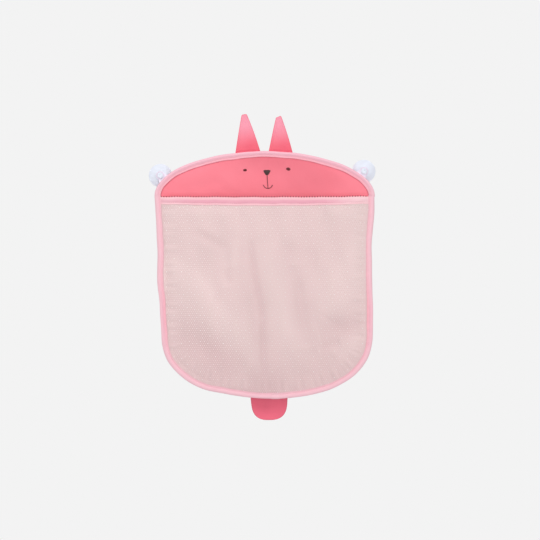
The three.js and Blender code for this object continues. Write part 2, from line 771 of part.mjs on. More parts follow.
const coralCloth = finish(0xfa7d8c, 0.85);
const tailCloth = finish(0xdc5f78, 0.85);
const bindingTape = finish(0xf8b8c8, 0.8);
const netYarn = finish(0xead2d3, 0.9);
const thread = finish(0x4a2226, 0.7);
const ribbon = finish(0xf2e6f2, 0.7);
const clearVinyl = finish(0xdde4f2, 0.15, { transparent: true, opacity: 0.45 });

// Assembly

const bag = new THREE.Group();

function add(name, geometry, material, x = 0, z = 0) {
  const mesh = new THREE.Mesh(geometry, material);
  mesh.name = name;
  mesh.position.set(x, 0, z);
  bag.add(mesh);
}

function addPlies(name, contour, thickness, material) {
  add(`${name}_front`, turnedPly(contour, frontLayerY, thickness, -1), material);
  add(`${name}_back`, turnedPly(contour, rearLayerY, thickness, 1), material);
}

function addHanger(side, degrees) {
  const seam = seamAt(dome, THREE.MathUtils.degToRad(degrees));
  const neck = fromSeam(seam, 0, TAB_REACH);
  add(`hanging_tab_${side}`, hangingTab(seam), ribbon);
  add(`suction_cup_${side}`, suctionCup(), clearVinyl, neck.x, neck.y);
}

const panel = netPanel();
const lining = cutSheet(headContour(sheetInset), rearLayerY + CLOTH_THICKNESS, CLOTH_THICKNESS);
add("edge_binding", edgeBinding(), bindingTape);
add("face_panel", facePanel(), coralCloth);
add("face_lining", lining, coralCloth);
add("back_net", sheetSolid(panel, rearLayerY + NET_THICKNESS, NET_THICKNESS), netYarn);
add("pocket_net", sheetSolid(panel, frontLayerY, NET_THICKNESS, pocketBulge), netYarn);
add("mouth_tape", mouthTape(), bindingTape);
addPlies("ear_left", earContour(LEFT_EAR_X, LEFT_EAR_HEIGHT, LEFT_EAR_SHIFT), EAR_PLY, coralCloth);
addPlies("ear_right", earContour(RIGHT_EAR_X, RIGHT_EAR_HEIGHT, RIGHT_EAR_SHIFT), EAR_PLY, coralCloth);
addPlies("tail", tailContour(), TAIL_PLY, tailCloth);
addHanger("left", LEFT_TAB_ANGLE);
addHanger("right", RIGHT_TAB_ANGLE);
add("eye_left", eye(-1), thread);
add("eye_right", eye(1), thread);
add("nose", nose(), thread);
add("mouth", mouth(), thread);

export default bag;
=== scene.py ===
"""A bath toy organizer, dressed for a studio picture.

A flat net bag hangs from two suction cups. A folded tape binds the edge of four sheets: a cloth
face panel and its lining above the mouth, and two layers of net below it. Ears, a tail and two
hanging tabs are sewn to that edge. Everything is in metres, +Z up, with the front towards -Y.
"""

import logging
import math
from collections.abc import Callable, Mapping, Sequence
from dataclasses import dataclass, field, replace
from enum import Enum
from functools import cached_property

import bpy
import numpy as np
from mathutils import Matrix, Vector


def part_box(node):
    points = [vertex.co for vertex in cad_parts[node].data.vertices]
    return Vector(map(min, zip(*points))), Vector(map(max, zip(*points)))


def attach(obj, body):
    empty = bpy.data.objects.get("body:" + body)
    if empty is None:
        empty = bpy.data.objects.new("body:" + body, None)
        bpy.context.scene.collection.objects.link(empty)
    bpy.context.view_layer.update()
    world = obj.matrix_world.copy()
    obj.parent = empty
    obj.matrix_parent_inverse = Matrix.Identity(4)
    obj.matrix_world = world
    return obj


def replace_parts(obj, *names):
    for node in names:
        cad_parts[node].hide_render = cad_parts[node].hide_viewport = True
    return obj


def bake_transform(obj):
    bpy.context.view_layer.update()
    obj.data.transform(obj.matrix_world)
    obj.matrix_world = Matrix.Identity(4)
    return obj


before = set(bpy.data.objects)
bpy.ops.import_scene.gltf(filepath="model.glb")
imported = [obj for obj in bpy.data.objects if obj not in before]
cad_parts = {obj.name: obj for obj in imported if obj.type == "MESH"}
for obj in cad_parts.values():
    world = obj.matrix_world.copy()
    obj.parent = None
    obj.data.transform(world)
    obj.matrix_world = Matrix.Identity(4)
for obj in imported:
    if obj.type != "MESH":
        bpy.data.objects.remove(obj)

log = logging.getLogger("bath_toy_organizer")

Colour = tuple[float, float, float, float]
Array = np.ndarray


class Body(Enum):
    """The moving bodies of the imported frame."""

    BAG = "bag"
    EAR_LEFT = "ear_left"
    EAR_RIGHT = "ear_right"
    TAIL = "tail"
    TAB_LEFT = "tab_left"
    TAB_RIGHT = "tab_right"
    CUP_LEFT = "cup_left"
    CUP_RIGHT = "cup_right"


class Slot(Enum):
    """The record's material slots."""

    CORAL = "coral_cloth"
    TAIL = "tail_cloth"
    BINDING = "binding_tape"
    NET = "net_yarn"
    RIBBON = "ribbon"
    THREAD = "thread"
    VINYL = "clear_vinyl"


class Facing(Enum):
    """Which way a sheet's outer face looks, as the sign of y."""

    FRONT = -1
    BACK = 1

    @property
    def out(self) -> Array:
        """The direction in which it looks."""
        return np.array([0.0, self.value, 0.0])


# Numbers


def srgb(red: int, green: int, blue: int) -> Colour:
    """A colour as written for a screen, made linear.

    Args:
        red: Red from 0 to 255.
        green: Green from 0 to 255.
        blue: Blue from 0 to 255.

    Returns:
        The linear colour with full alpha.
    """
    levels = [level / 255 for level in (red, green, blue)]
    linear = [c / 12.92 if c <= 0.04045 else ((c + 0.055) / 1.055) ** 2.4 for c in levels]
    return (linear[0], linear[1], linear[2], 1.0)


def rise(values: Array, low: float, high: float) -> Array:
    """A smooth step.

    Args:
        values: Where to read it.
        low: Where it leaves 0.
        high: Where it reaches 1.

    Returns:
        The step at each value.
    """
    share = np.clip((values - low) / (high - low), 0, 1)
    return share * share * (3 - 2 * share)


def ripples(values: Array, *waves: tuple[float, float, float]) -> Array:
    """Sines added up.

    Args:
        values: Where to read them, in metres.
        waves: The length, height and phase of each.

    Returns:
        Their sum at each value.
    """
    total = np.zeros_like(values)
    for length, height, phase in waves:
        total += height * np.sin(2 * np.pi * values / length + phase)
    return total


def unit(vectors: Array) -> Array:
    """The vectors, each scaled to length 1."""
    return vectors / np.maximum(np.linalg.norm(vectors, axis=-1, keepdims=True), 1e-12)


def hump(values: Array, middle: Array | float, width: float) -> Array:
    """A smooth hump of height 1 round a middle."""
    return np.exp(-(((values - middle) / width) ** 2))


def rounding(gap: Array, radius: float) -> Array:
    """The share of its thickness that a rounded edge has at distances from its rim."""
    return np.sqrt(np.clip(1 - (1 - np.clip(gap / radius, 0, 1)) ** 2, 0, 1))


def measures(shape: tuple[int, ...], along: Array, across: Array, third: Array | float) -> Array:
    """The three cloth measures of an array of points, each spread over the whole array."""
    return np.stack([np.broadcast_to(part, shape) for part in (along, across, third)], axis=-1)


def folded(front: Array, back: Array) -> Array:
    """Rows of points that run over the front and return over the back, meeting at both ends."""
    return np.concatenate([front, back[:, ::-1][:, 1:-1]], axis=1)


# Meshes


@dataclass(frozen=True)
class Form:
    """A mesh in numbers.

    Attributes:
        points: Its corners, (n, 3).
        faces: Its faces as corner numbers, one array for each count of corners.
        lay: Where each corner lies on the cloth: along it, across it and a third measure.
    """

    points: Array
    faces: tuple[Array, ...]
    lay: Array

    def volume(self) -> float:
        """The enclosed volume, negative where the faces point inwards."""
        total = 0.0
        for faces in self.faces:
            first = self.points[faces[:, 0]]
            for k in range(1, faces.shape[1] - 1):
                a, b = self.points[faces[:, k]], self.points[faces[:, k + 1]]
                total += float(np.einsum("ij,ij->", first, np.cross(a, b)))
        return total / 6

    def outward(self) -> "Form":
        """The same form with its faces pointing out."""
        if self.volume() >= 0:
            return self
        return replace(self, faces=tuple(faces[:, ::-1] for faces in self.faces))

    def welded(self) -> "Form":
        """The same form with corners at one place merged, and the faces that closed up left out."""
        keys = np.round(self.points * 1e7).astype(np.int64)
        _, first, back = np.unique(keys, axis=0, return_index=True, return_inverse=True)
        back = back.reshape(-1)
        kept = []
        for faces in self.faces:
            merged = back[faces]
            beside = np.roll(merged, -1, axis=1)
            whole = (merged != beside).all(axis=1)
            if whole.any():
                kept.append(merged[whole])
            if faces.shape[1] == 4 and not whole.all():
                thin = merged[~whole]
                same = (thin == np.roll(thin, -1, axis=1)).argmax(axis=1)
                corners = np.array([[k for k in range(4) if k != s] for s in same])
                triangles = np.take_along_axis(thin, corners, axis=1)
                distinct = (triangles != np.roll(triangles, -1, axis=1)).all(axis=1)
                kept.append(triangles[distinct])
        return Form(self.points[first], tuple(kept), self.lay[first])

    @staticmethod
    def joined(forms: Sequence["Form"]) -> "Form":
        """Several forms as one.

        Args:
            forms: The forms, in order.

        Returns:
            One form that holds them all.
        """
        starts = np.cumsum([0] + [len(form.points) for form in forms[:-1]])
        faces = tuple(part + start for form, start in zip(forms, starts) for part in form.faces)
        points = np.concatenate([form.points for form in forms])
        return Form(points, faces, np.concatenate([form.lay for form in forms]))

    def piece(
        self, name: str, material: bpy.types.Material, slot: Slot, sharp: float = math.pi
    ) -> bpy.types.Object:
        """Makes the Blender object.

        Args:
            name: The object's name.
            material: Its material.
            slot: The record's slot for the material. It is not used.
            sharp: The angle between faces above which their edge is shaded as an edge.

        Returns:
            The object, linked to the scene.
        """
        mesh = bpy.data.meshes.new(name)
        mesh.vertices.add(len(self.points))
        mesh.vertices.foreach_set("co", self.points.astype(np.float32).ravel())
        corners = np.concatenate([faces.ravel() for faces in self.faces])
        counts = np.concatenate([np.full(len(f), f.shape[1]) for f in self.faces])
        mesh.loops.add(len(corners))
        mesh.loops.foreach_set("vertex_index", corners.astype(np.int32))
        mesh.polygons.add(len(counts))
        mesh.polygons.foreach_set("loop_start", (np.cumsum(counts) - counts).astype(np.int32))
        mesh.polygons.foreach_set("use_smooth", np.ones(len(counts), bool))
        mesh.update(calc_edges=True)
        mesh.validate()
        if sharp < math.pi:
            mesh.set_sharp_from_angle(angle=sharp)
        lay = mesh.attributes.new("lay", "FLOAT_VECTOR", "POINT")
        lay.data.foreach_set("vector", self.lay.astype(np.float32).ravel())
        mesh.materials.append(material)
        made = bpy.data.objects.new(name, mesh)
        bpy.context.scene.collection.objects.link(made)
        log.info("%s: %d faces", name, len(counts))
        return made


def loft(rings: Array, lay: Array, closed: bool) -> Form:
    """Joins rings of points into a closed form.

    Args:
        rings: The rings, (count, points, 3).
        lay: The cloth measures of the same points.
        closed: Whether the last ring joins the first. Otherwise the two ends get flat caps.

    Returns:
        The form, its faces pointing out.
    """
    count, size = rings.shape[:2]
    numbers = np.arange(count * size).reshape(count, size)
    near = numbers if closed else numbers[:-1]
    far = np.roll(numbers, -1, axis=0) if closed else numbers[1:]
    quads = np.stack([near, np.roll(near, -1, 1), np.roll(far, -1, 1), far], axis=-1)
    faces = [quads.reshape(-1, 4)]
    if not closed:
        faces += [numbers[:1, ::-1], numbers[-1:]]
    return Form(rings.reshape(-1, 3), tuple(faces), lay.reshape(-1, 3)).outward()


@dataclass(frozen=True)
class Thread:
    """A sewing thread, as stitches of one bundle each.

    Attributes:
        radius: Its radius where a stitch is fullest.
        arch: How far the middle of a stitch stands off the cloth.
        sides: Sides round a stitch.
        stations: Rings along a stitch.
    """

    radius: float
    arch: float
    sides: int = 5
    stations: int = 5

    def stitches(self, starts: Array, ends: Array, lift: Array) -> Form:
        """Lays one stitch between each pair of points.

        Args:
            starts: Where each begins, (n, 3).
            ends: Where each ends, (n, 3).
            lift: Which way each arches, (n, 3) or (3,).

        Returns:
            All the stitches as one form.
        """
        count = len(starts)
        lift = unit(np.broadcast_to(lift, starts.shape))
        run = ends - starts
        beside = unit(np.cross(run, lift))
        share = np.linspace(0, 1, self.stations)
        swell = np.sin(np.pi * (0.08 + 0.84 * share)) ** 0.6
        centre = starts[:, None] + share[None, :, None] * run[:, None]
        centre += (self.arch * np.sin(np.pi * share))[None, :, None] * lift[:, None]
        angle = 2 * np.pi * np.arange(self.sides) / self.sides
        cosine, sine = np.cos(angle)[:, None], np.sin(angle)[:, None]
        ring = cosine * beside[:, None, None] + sine * lift[:, None, None]
        points = centre[:, :, None] + self.radius * swell[None, :, None, None] * ring
        numbers = np.arange(count * self.stations * self.sides)
        numbers = numbers.reshape(count, self.stations, self.sides)
        near, far = numbers[:, :-1], numbers[:, 1:]
        quads = np.stack([near, np.roll(near, -1, 2), np.roll(far, -1, 2), far], axis=-1)
        faces = (quads.reshape(-1, 4), numbers[:, 0, ::-1], numbers[:, -1])
        length = np.linalg.norm(run, axis=-1)
        lay = measures(points.shape[:-1], (share * length[:, None])[:, :, None], angle, 0.0)
        return Form(points.reshape(-1, 3), faces, lay.reshape(-1, 3)).outward()


# Shaders


class Value:
    """A number, colour or vector on its way through a material's nodes.

    Python's operators add Math nodes, so it is used for numbers only where they are written.
    """

    def __init__(self, shader: "Shader", socket: bpy.types.NodeSocket) -> None:
        """Wraps an output socket of a shader's node."""
        self.shader = shader
        self.socket = socket

    def _math(self, operation: str, first: "Value | float", second: "Value | float") -> "Value":
        """Adds a Math node.

        Args:
            operation: The node's operation.
            first: Its first number.
            second: Its second number.

        Returns:
            The result.
        """
        return self.shader.node("ShaderNodeMath", {"operation": operation}, {0: first, 1: second})

    def __add__(self, other: "Value | float") -> "Value":
        """self + other."""
        return self._math("ADD", self, other)

    def __radd__(self, other: float) -> "Value":
        """other + self."""
        return self._math("ADD", other, self)

    def __sub__(self, other: "Value | float") -> "Value":
        """self - other."""
        return self._math("SUBTRACT", self, other)

    def __rsub__(self, other: float) -> "Value":
        """other - self."""
        return self._math("SUBTRACT", other, self)

    def __mul__(self, other: "Value | float") -> "Value":
        """self * other."""
        return self._math("MULTIPLY", self, other)

    def __rmul__(self, other: float) -> "Value":
        """other * self."""
        return self._math("MULTIPLY", other, self)

    def __pow__(self, other: "Value | float") -> "Value":
        """self to the power of other."""
        return self._math("POWER", self, other)

    def capped(self, most: float) -> "Value":
        """self, but no more than most."""
        return self._math("MINIMUM", self, most)

    def wave(self, length: float) -> "Value":
        """A sine from -1 to 1 that repeats each length."""
        return self._math("SINE", self * (2 * math.pi / length), 0.0)

    def step(self, low: float, high: float) -> "Value":
        """A smooth step from 0 at low to 1 at high."""
        settings = {"interpolation_type": "SMOOTHSTEP"}
        return self.shader.node("ShaderNodeMapRange", settings, {"Value": self, 1: low, 2: high})


class Shader:
    """Builds the nodes of a material or of the world."""

    def __init__(self, name: str, world: bool = False) -> None:
        """Starts a material or a world without nodes.

        Args:
            name: Its name.
            world: Whether it is a world.
        """
        self.owner = (bpy.data.worlds if world else bpy.data.materials).new(name)
        self.owner.use_nodes = True
        self.tree = self.owner.node_tree
        self.tree.nodes.clear()

    def node(
        self,
        kind: str,
        settings: Mapping[str, object] | None = None,
        inputs: Mapping[str | int, object] | None = None,
        output: int | str = 0,
    ) -> Value:
        """Adds a node.

        Args:
            kind: The node's type.
            settings: Its properties, set first.
            inputs: The values or links of its sockets, by name or number.
            output: The socket to go on from.

        Returns:
            The chosen output.
        """
        made = self.tree.nodes.new(kind)
        for name, value in (settings or {}).items():
            setattr(made, name, value)
        for name, value in (inputs or {}).items():
            if isinstance(value, Value):
                self.tree.links.new(value.socket, made.inputs[name])
            else:
                made.inputs[name].default_value = value
        return Value(self, made.outputs[output])

    def parts(self, vector: Value) -> tuple[Value, Value, Value]:
        """The three parts of a vector."""
        return tuple(self.node("ShaderNodeSeparateXYZ", {}, {0: vector}, k) for k in range(3))

    def lay(self) -> tuple[Value, Value, Value]:
        """The three cloth measures of the piece: along, across and the third."""
        settings = {"attribute_name": "lay"}
        return self.parts(self.node("ShaderNodeAttribute", settings, output="Vector"))

    def place(self) -> Value:
        """The point on the object, in metres."""
        return self.node("ShaderNodeTexCoord", output="Object")

    def noise(self, scale: float, detail: float = 2.0) -> Value:
        """Cloudy noise around 0.5, with so many clouds to a metre and so many octaves."""
        inputs = {"Vector": self.place(), "Scale": scale, "Detail": detail}
        return self.node("ShaderNodeTexNoise", {}, inputs)

    def mix(self, share: Value, first: "Value | Colour", second: "Value | Colour") -> Value:
        """Mixes two colours.

        Args:
            share: How much of the second.
            first: The first colour.
            second: The second colour.

        Returns:
            The mixed colour.
        """
        settings = {"data_type": "RGBA", "clamp_factor": True}
        return self.node("ShaderNodeMix", settings, {0: share, 6: first, 7: second}, 2)

    def shade(self, colour: "Value | Colour", level: Value) -> Value:
        """A colour made lighter or darker by a number around 1."""
        tint = colour if isinstance(colour, Value) else colour[:3]
        return self.node("ShaderNodeVectorMath", {"operation": "SCALE"}, {0: tint, "Scale": level})

    def bump(self, height: Value, depth: float) -> Value:
        """A normal from a height of about 0 to 1, where 1 stands for so many metres."""
        return self.node("ShaderNodeBump", {}, {"Height": height, "Distance": depth})

    def finish(self, **sockets: object) -> bpy.types.Material:
        """Closes the material with a Principled surface.

        Args:
            sockets: The surface's sockets, with _ for a space in each name.

        Returns:
            The material.
        """
        inputs = {name.replace("_", " "): value for name, value in sockets.items()}
        surface = self.node("ShaderNodeBsdfPrincipled", {}, inputs)
        self.node_out(surface)
        return self.owner

    def node_out(self, surface: Value, kind: str = "ShaderNodeOutputMaterial") -> None:
        """Links a surface to the output of the material or, with its type, of the world."""
        out = self.tree.nodes.new(kind)
        self.tree.links.new(surface.socket, out.inputs["Surface"])


# Finishes


@dataclass(frozen=True)
class ClothFinish:
    """Plain woven polyester cloth.

    Attributes:
        name: The material's name.
        colour: The cloth's colour.
        deep: Its colour in its darker clouds, where threads cross, and at a flap's seam, where it
            is partly painted shade.
        seam: Its colour in painted shade, where the third cloth measure is 1.
        tip_tone_and_light: Its colour at a flap's free end, partly the cloth's own tone and partly
            a painted highlight.
        tip_blend: The distance from the seam over which a flap goes from the deep colour to its
            tip's colour, or 0 for other cloth.
        thread: The pitch of its threads.
        roughness: How matt it is.
    """

    name: str
    colour: Colour
    deep: Colour
    seam: Colour
    tip_tone_and_light: Colour
    tip_blend: float = 0.0
    thread: float = 0.0006
    roughness: float = 0.82

    def material(self) -> bpy.types.Material:
        """Builds the material."""
        shader = Shader(self.name)
        along, across, seam = shader.lay()
        weave = along.wave(self.thread) * across.wave(self.thread)
        cloud = shader.noise(14, 3)
        slub = shader.noise(420, 2)
        base: Value | Colour = self.colour
        # On a flap the cloth is darker at the seam and lighter at the free end: partly the cloth's
        # tone, partly painted shade and painted light.
        if self.tip_blend:
            base = shader.mix(across.step(0.0, self.tip_blend), self.deep, self.tip_tone_and_light)
        base = shader.mix((cloud - 0.35) * 0.6, base, self.deep)
        # The third cloth measure lays painted shade in the seam colour: on the panel under the tape
        # and on brow, cheek and mouth, and on a flap's rims, seam and a spot on its front.
        base = shader.mix(seam, base, self.seam)
        base = shader.mix((0.5 - 0.5 * weave) * 0.16, base, self.deep)
        base = shader.shade(base, 0.985 + 0.03 * slub)
        height = 0.5 + 0.5 * weave + 0.4 * slub
        rough = self.roughness + 0.08 * (slub - 0.5)
        return shader.finish(
            Base_Color=base,
            Roughness=rough,
            Normal=shader.bump(height, 0.00007),
            Sheen_Weight=0.25,
            Sheen_Roughness=0.5,
            Specular_IOR_Level=0.25,
        )


@dataclass(frozen=True)
class TapeFinish:
    """Woven binding tape with ribs across it and a slight sheen.

    Attributes:
        name: The material's name.
        colour: The tape's colour.
        fold: Its colour along the fold, a painted highlight.
        edge: Its colour along its woven edge, a painted highlight.
        pale: Its lighter colour where the third cloth measure is 1, a painted highlight.
        width: The distance from the fold to the edge.
        bands: The shares of the width where the fold's colour starts and ends giving way, and the
            same for the edge's colour.
        lines: How much painted shade darkens its fold and the line at its stitches, in step with
            the third cloth measure.
        stitched: The shares of the width between which the painted shade line at the stitches comes
            in.
        rib: The pitch of its ribs.
        warp: The pitch of the threads along it.
    """

    name: str
    colour: Colour
    fold: Colour
    edge: Colour
    pale: Colour
    width: float
    bands: tuple[float, float, float, float]
    lines: tuple[float, float] = (0.0, 0.0)
    stitched: tuple[float, float] = (0.66, 0.82)
    rib: float = 0.0009
    warp: float = 0.00055

    def material(self) -> bpy.types.Material:
        """Builds the material."""
        shader = Shader(self.name)
        # The third cloth measure, read here as loose, is the share of painted highlight; it also
        # deepens the painted shade lines.
        along, across, loose = shader.lay()
        levels = [share * self.width for share in (*self.bands, *self.stitched)]
        inner, outer, stitched = (across.step(*levels[k : k + 2]) for k in (0, 2, 4))
        ribs, warp = along.wave(self.rib), across.wave(self.warp)
        cloud = shader.noise(60, 2)
        # Painted light and shade in bands: a highlight along the fold and along the edge, and shade
        # between them.
        base = shader.mix(inner, self.fold, self.colour)
        base = shader.mix(outer, base, self.edge)
        base = shader.mix(loose + 0.3 * (cloud - 0.5), base, self.pale)
        # Painted shade lines at the fold and at the stitches.
        lines = self.lines[0] * (1 - inner) + self.lines[1] * stitched
        base = shader.shade(base, (0.985 + 0.02 * ribs) * (1 - loose * lines))
        height = 0.5 + 0.5 * ribs + 0.2 * warp
        return shader.finish(
            Base_Color=base,
            Roughness=0.62 + 0.12 * cloud,
            Normal=shader.bump(height, 0.00009),
            Sheen_Weight=0.2,
            Specular_IOR_Level=0.35,
        )


@dataclass(frozen=True)
class NetFinish:
    """Knitted polyester net yarn.

    Attributes:
        name: The material's name.
        colour: The yarn's colour.
        dense_shaded: Its colour in a crease and towards the foot, where the net is denser and
            painted shade lies.
    """

    name: str
    colour: Colour
    dense_shaded: Colour

    def material(self) -> bpy.types.Material:
        """Builds the material."""
        shader = Shader(self.name)
        _, _, density_and_shade = shader.lay()
        cloud = shader.noise(17, 2)
        fibre = shader.noise(1900, 2)
        # Darker in creases and towards the foot and lighter on ridges: partly the denser net,
        # partly painted shade and painted light.
        base = shader.mix(density_and_shade, self.colour, self.dense_shaded)
        base = shader.shade(base, 0.93 + 0.10 * cloud + 0.04 * fibre)
        return shader.finish(
            Base_Color=base,
            Roughness=0.6 + 0.2 * fibre,
            Normal=shader.bump(fibre, 0.00012),
            Sheen_Weight=0.15,
            Specular_IOR_Level=0.3,
        )


@dataclass(frozen=True)
class ThreadFinish:
    """Twisted sewing thread.

    Attributes:
        name: The material's name.
        colour: The thread's colour.
        shadow: Its colour between the strands.
        roughness: How matt it is.
    """

    name: str
    colour: Colour
    shadow: Colour
    roughness: float = 0.5

    def material(self) -> bpy.types.Material:
        """Builds the material."""
        shader = Shader(self.name)
        along, turn, _ = shader.lay()
        twist = (along * 3500 + turn).wave(2 * math.pi)
        strands = 0.5 + 0.5 * twist
        cloud = shader.noise(500, 2)
        base = shader.mix(strands, self.shadow, self.colour)
        return shader.finish(
            Base_Color=shader.shade(base, 0.92 + 0.16 * cloud),
            Roughness=self.roughness + 0.1 * strands,
            Normal=shader.bump(strands, 0.00006),
            Sheen_Weight=0.2,
        )


@dataclass(frozen=True)
class RibbonFinish:
    """Satin ribbon, smooth along its threads.

    Attributes:
        name: The material's name.
        colour: The ribbon's colour.
        shadow: Its colour between the threads.
    """

    name: str
    colour: Colour
    shadow: Colour

    def material(self) -> bpy.types.Material:
        """Builds the material."""
        shader = Shader(self.name)
        along, across, _ = shader.lay()
        lines = along.wave(0.0005)
        cloud = shader.noise(120, 2)
        base = shader.mix((0.5 - 0.5 * lines) * 0.4 + (cloud - 0.5) * 0.4, self.colour, self.shadow)
        return shader.finish(
            Base_Color=base,
            Roughness=0.34 + 0.16 * cloud,
            Normal=shader.bump(0.5 + 0.5 * lines + 0.1 * across.wave(0.0014), 0.00005),
            Sheen_Weight=0.3,
        )


@dataclass(frozen=True)
class VinylFinish:
    """Clear soft vinyl with a faint blue cast, slightly milky.

    Attributes:
        name: The material's name.
        colour: Its cast.
        roughness: How much its skin blurs.
    """

    name: str
    colour: Colour
    roughness: float = 0.36

    def material(self) -> bpy.types.Material:
        """Builds the material."""
        shader = Shader(self.name)
        cloud = shader.noise(90, 2)
        return shader.finish(
            Base_Color=shader.shade(self.colour, 0.97 + 0.05 * cloud),
            Roughness=self.roughness + 0.08 * cloud,
            Normal=shader.bump(cloud, 0.0001),
            Transmission_Weight=0.20,
            IOR=1.42,
            Specular_IOR_Level=0.5,
        )


@dataclass(frozen=True)
class Wardrobe:
    """Every finish of the bag, built once."""

    @cached_property
    def coral(self) -> bpy.types.Material:
        """The face panel's cloth."""
        colours = srgb(251, 137, 151), srgb(242, 110, 125), srgb(198, 88, 104), srgb(255, 150, 165)
        return ClothFinish("coral_cloth", *colours).material()

    @cached_property
    def ear(self) -> bpy.types.Material:
        """The ears' cloth, deeper at the seam and lighter at the tip, partly painted shade and
        light.
        """
        colours = srgb(248, 120, 136), srgb(243, 107, 125), srgb(238, 88, 112), srgb(242, 160, 180)
        return ClothFinish("ear_cloth", *colours, tip_blend=0.052).material()

    @cached_property
    def tail(self) -> bpy.types.Material:
        """The tail's darker cloth, deeper at the seam and lighter at its free edge, partly painted
        shade and light.
        """
        colours = srgb(218, 98, 118), srgb(209, 90, 110), srgb(196, 84, 104), srgb(236, 108, 130)
        return ClothFinish("tail_cloth", *colours, tip_blend=0.036).material()

    @cached_property
    def binding(self) -> bpy.types.Material:
        """The edge binding's tape, with painted highlights along its fold and edge and painted
        shade lines.
        """
        colours = srgb(234, 174, 188), srgb(246, 190, 204), srgb(247, 178, 191), srgb(246, 199, 209)
        bands, lines = (0.22, 0.42, 0.52, 0.72), (0.13, 0.09)
        return TapeFinish("binding_tape", *colours, 0.0105, bands, lines).material()

    @cached_property
    def mouth(self) -> bpy.types.Material:
        """The mouth tape, with a painted highlight along its fold and along its edge."""
        colours = srgb(234, 168, 184), srgb(248, 194, 201), srgb(246, 196, 204), srgb(251, 212, 217)
        return TapeFinish("mouth_tape", *colours, 0.0135, (0.16, 0.50, 0.66, 0.88)).material()

    @cached_property
    def net(self) -> bpy.types.Material:
        """The net's yarn."""
        return NetFinish("net_yarn", srgb(237, 212, 211), srgb(217, 184, 186)).material()

    @cached_property
    def pale_thread(self) -> bpy.types.Material:
        """The thread of the seams."""
        return ThreadFinish("pale_thread", srgb(250, 200, 212), srgb(228, 160, 178)).material()

    @cached_property
    def rose_thread_and_shadow(self) -> bpy.types.Material:
        """The dark thread along the pocket's mouth, dark enough to paint the shadow line between
        the tape and the panel too.
        """
        return ThreadFinish("rose_thread_and_shadow", srgb(168, 60, 80), srgb(128, 42, 58)).material()

    @cached_property
    def brown_thread(self) -> bpy.types.Material:
        """The nose's thread."""
        return ThreadFinish("brown_thread", srgb(76, 46, 44), srgb(40, 22, 20)).material()

    @cached_property
    def wine_thread(self) -> bpy.types.Material:
        """The eyes' thread."""
        return ThreadFinish("wine_thread", srgb(122, 16, 28), srgb(72, 8, 14)).material()

    @cached_property
    def line_thread(self) -> bpy.types.Material:
        """The mouth line's thread."""
        return ThreadFinish("line_thread", srgb(136, 36, 48), srgb(92, 20, 28)).material()

    @cached_property
    def ribbon(self) -> bpy.types.Material:
        """The hanging tabs' satin."""
        return RibbonFinish("ribbon", srgb(245, 233, 247), srgb(230, 214, 235)).material()

    @cached_property
    def vinyl(self) -> bpy.types.Material:
        """The suction cups' vinyl."""
        return VinylFinish("clear_vinyl", srgb(240, 244, 255)).material()


# The bag's outline


@dataclass(frozen=True)
class Edge:
    """The bag's outer edge as even samples, anticlockwise as seen from the front.

    Attributes:
        points: The samples as (x, z).
        outward: The direction out of the bag at each.
        along: The distance of each from the first.
        length: The whole way round.
    """

    points: Array
    outward: Array
    along: Array
    length: float

    def inset(self, distance: Array | float) -> Array:
        """The samples moved into the bag by a distance."""
        return self.points - self.outward * np.reshape(distance, (-1, 1))

    def read(self, values: Array, along: Array) -> list[Array]:
        """Reads both parts of the samples' (x, z) values at distances along the edge.

        Args:
            values: The samples' values.
            along: The distances.

        Returns:
            The x parts and the z parts there.
        """
        loop = np.append(self.along, self.length)
        parts = [np.append(part, part[0]) for part in values.T]
        return [np.interp(along % self.length, loop, part) for part in parts]

    def near(self, x: Array, z: Array) -> tuple[Array, Array]:
        """How far points lie inside the edge, and the number of the sample nearest to each.

        Args:
            x: Their x.
            z: Their z.

        Returns:
            The distances, negative outside the bag, and the samples' numbers.
        """
        places = np.stack([x.ravel(), z.ravel()], axis=-1)
        found = np.empty(len(places), int)
        batch = 4000
        for start in range(0, len(places), batch):
            away = places[start : start + batch, None] - self.points
            found[start : start + batch] = np.einsum("ijk,ijk->ij", away, away).argmin(axis=1)
        inside = ((self.points[found] - places) * self.outward[found]).sum(axis=-1)
        gap = np.linalg.norm(self.points[found] - places, axis=-1)
        return (np.sign(inside) * gap).reshape(x.shape), found.reshape(x.shape)


@dataclass(frozen=True)
class Slack:
    """A place where the soft edge hangs in or out a little.

    Attributes:
        x: Its place across.
        z: Its height.
        reach: How far along the edge it is felt.
        out: How far the edge moves out there.
    """

    x: float
    z: float
    reach: float
    out: float


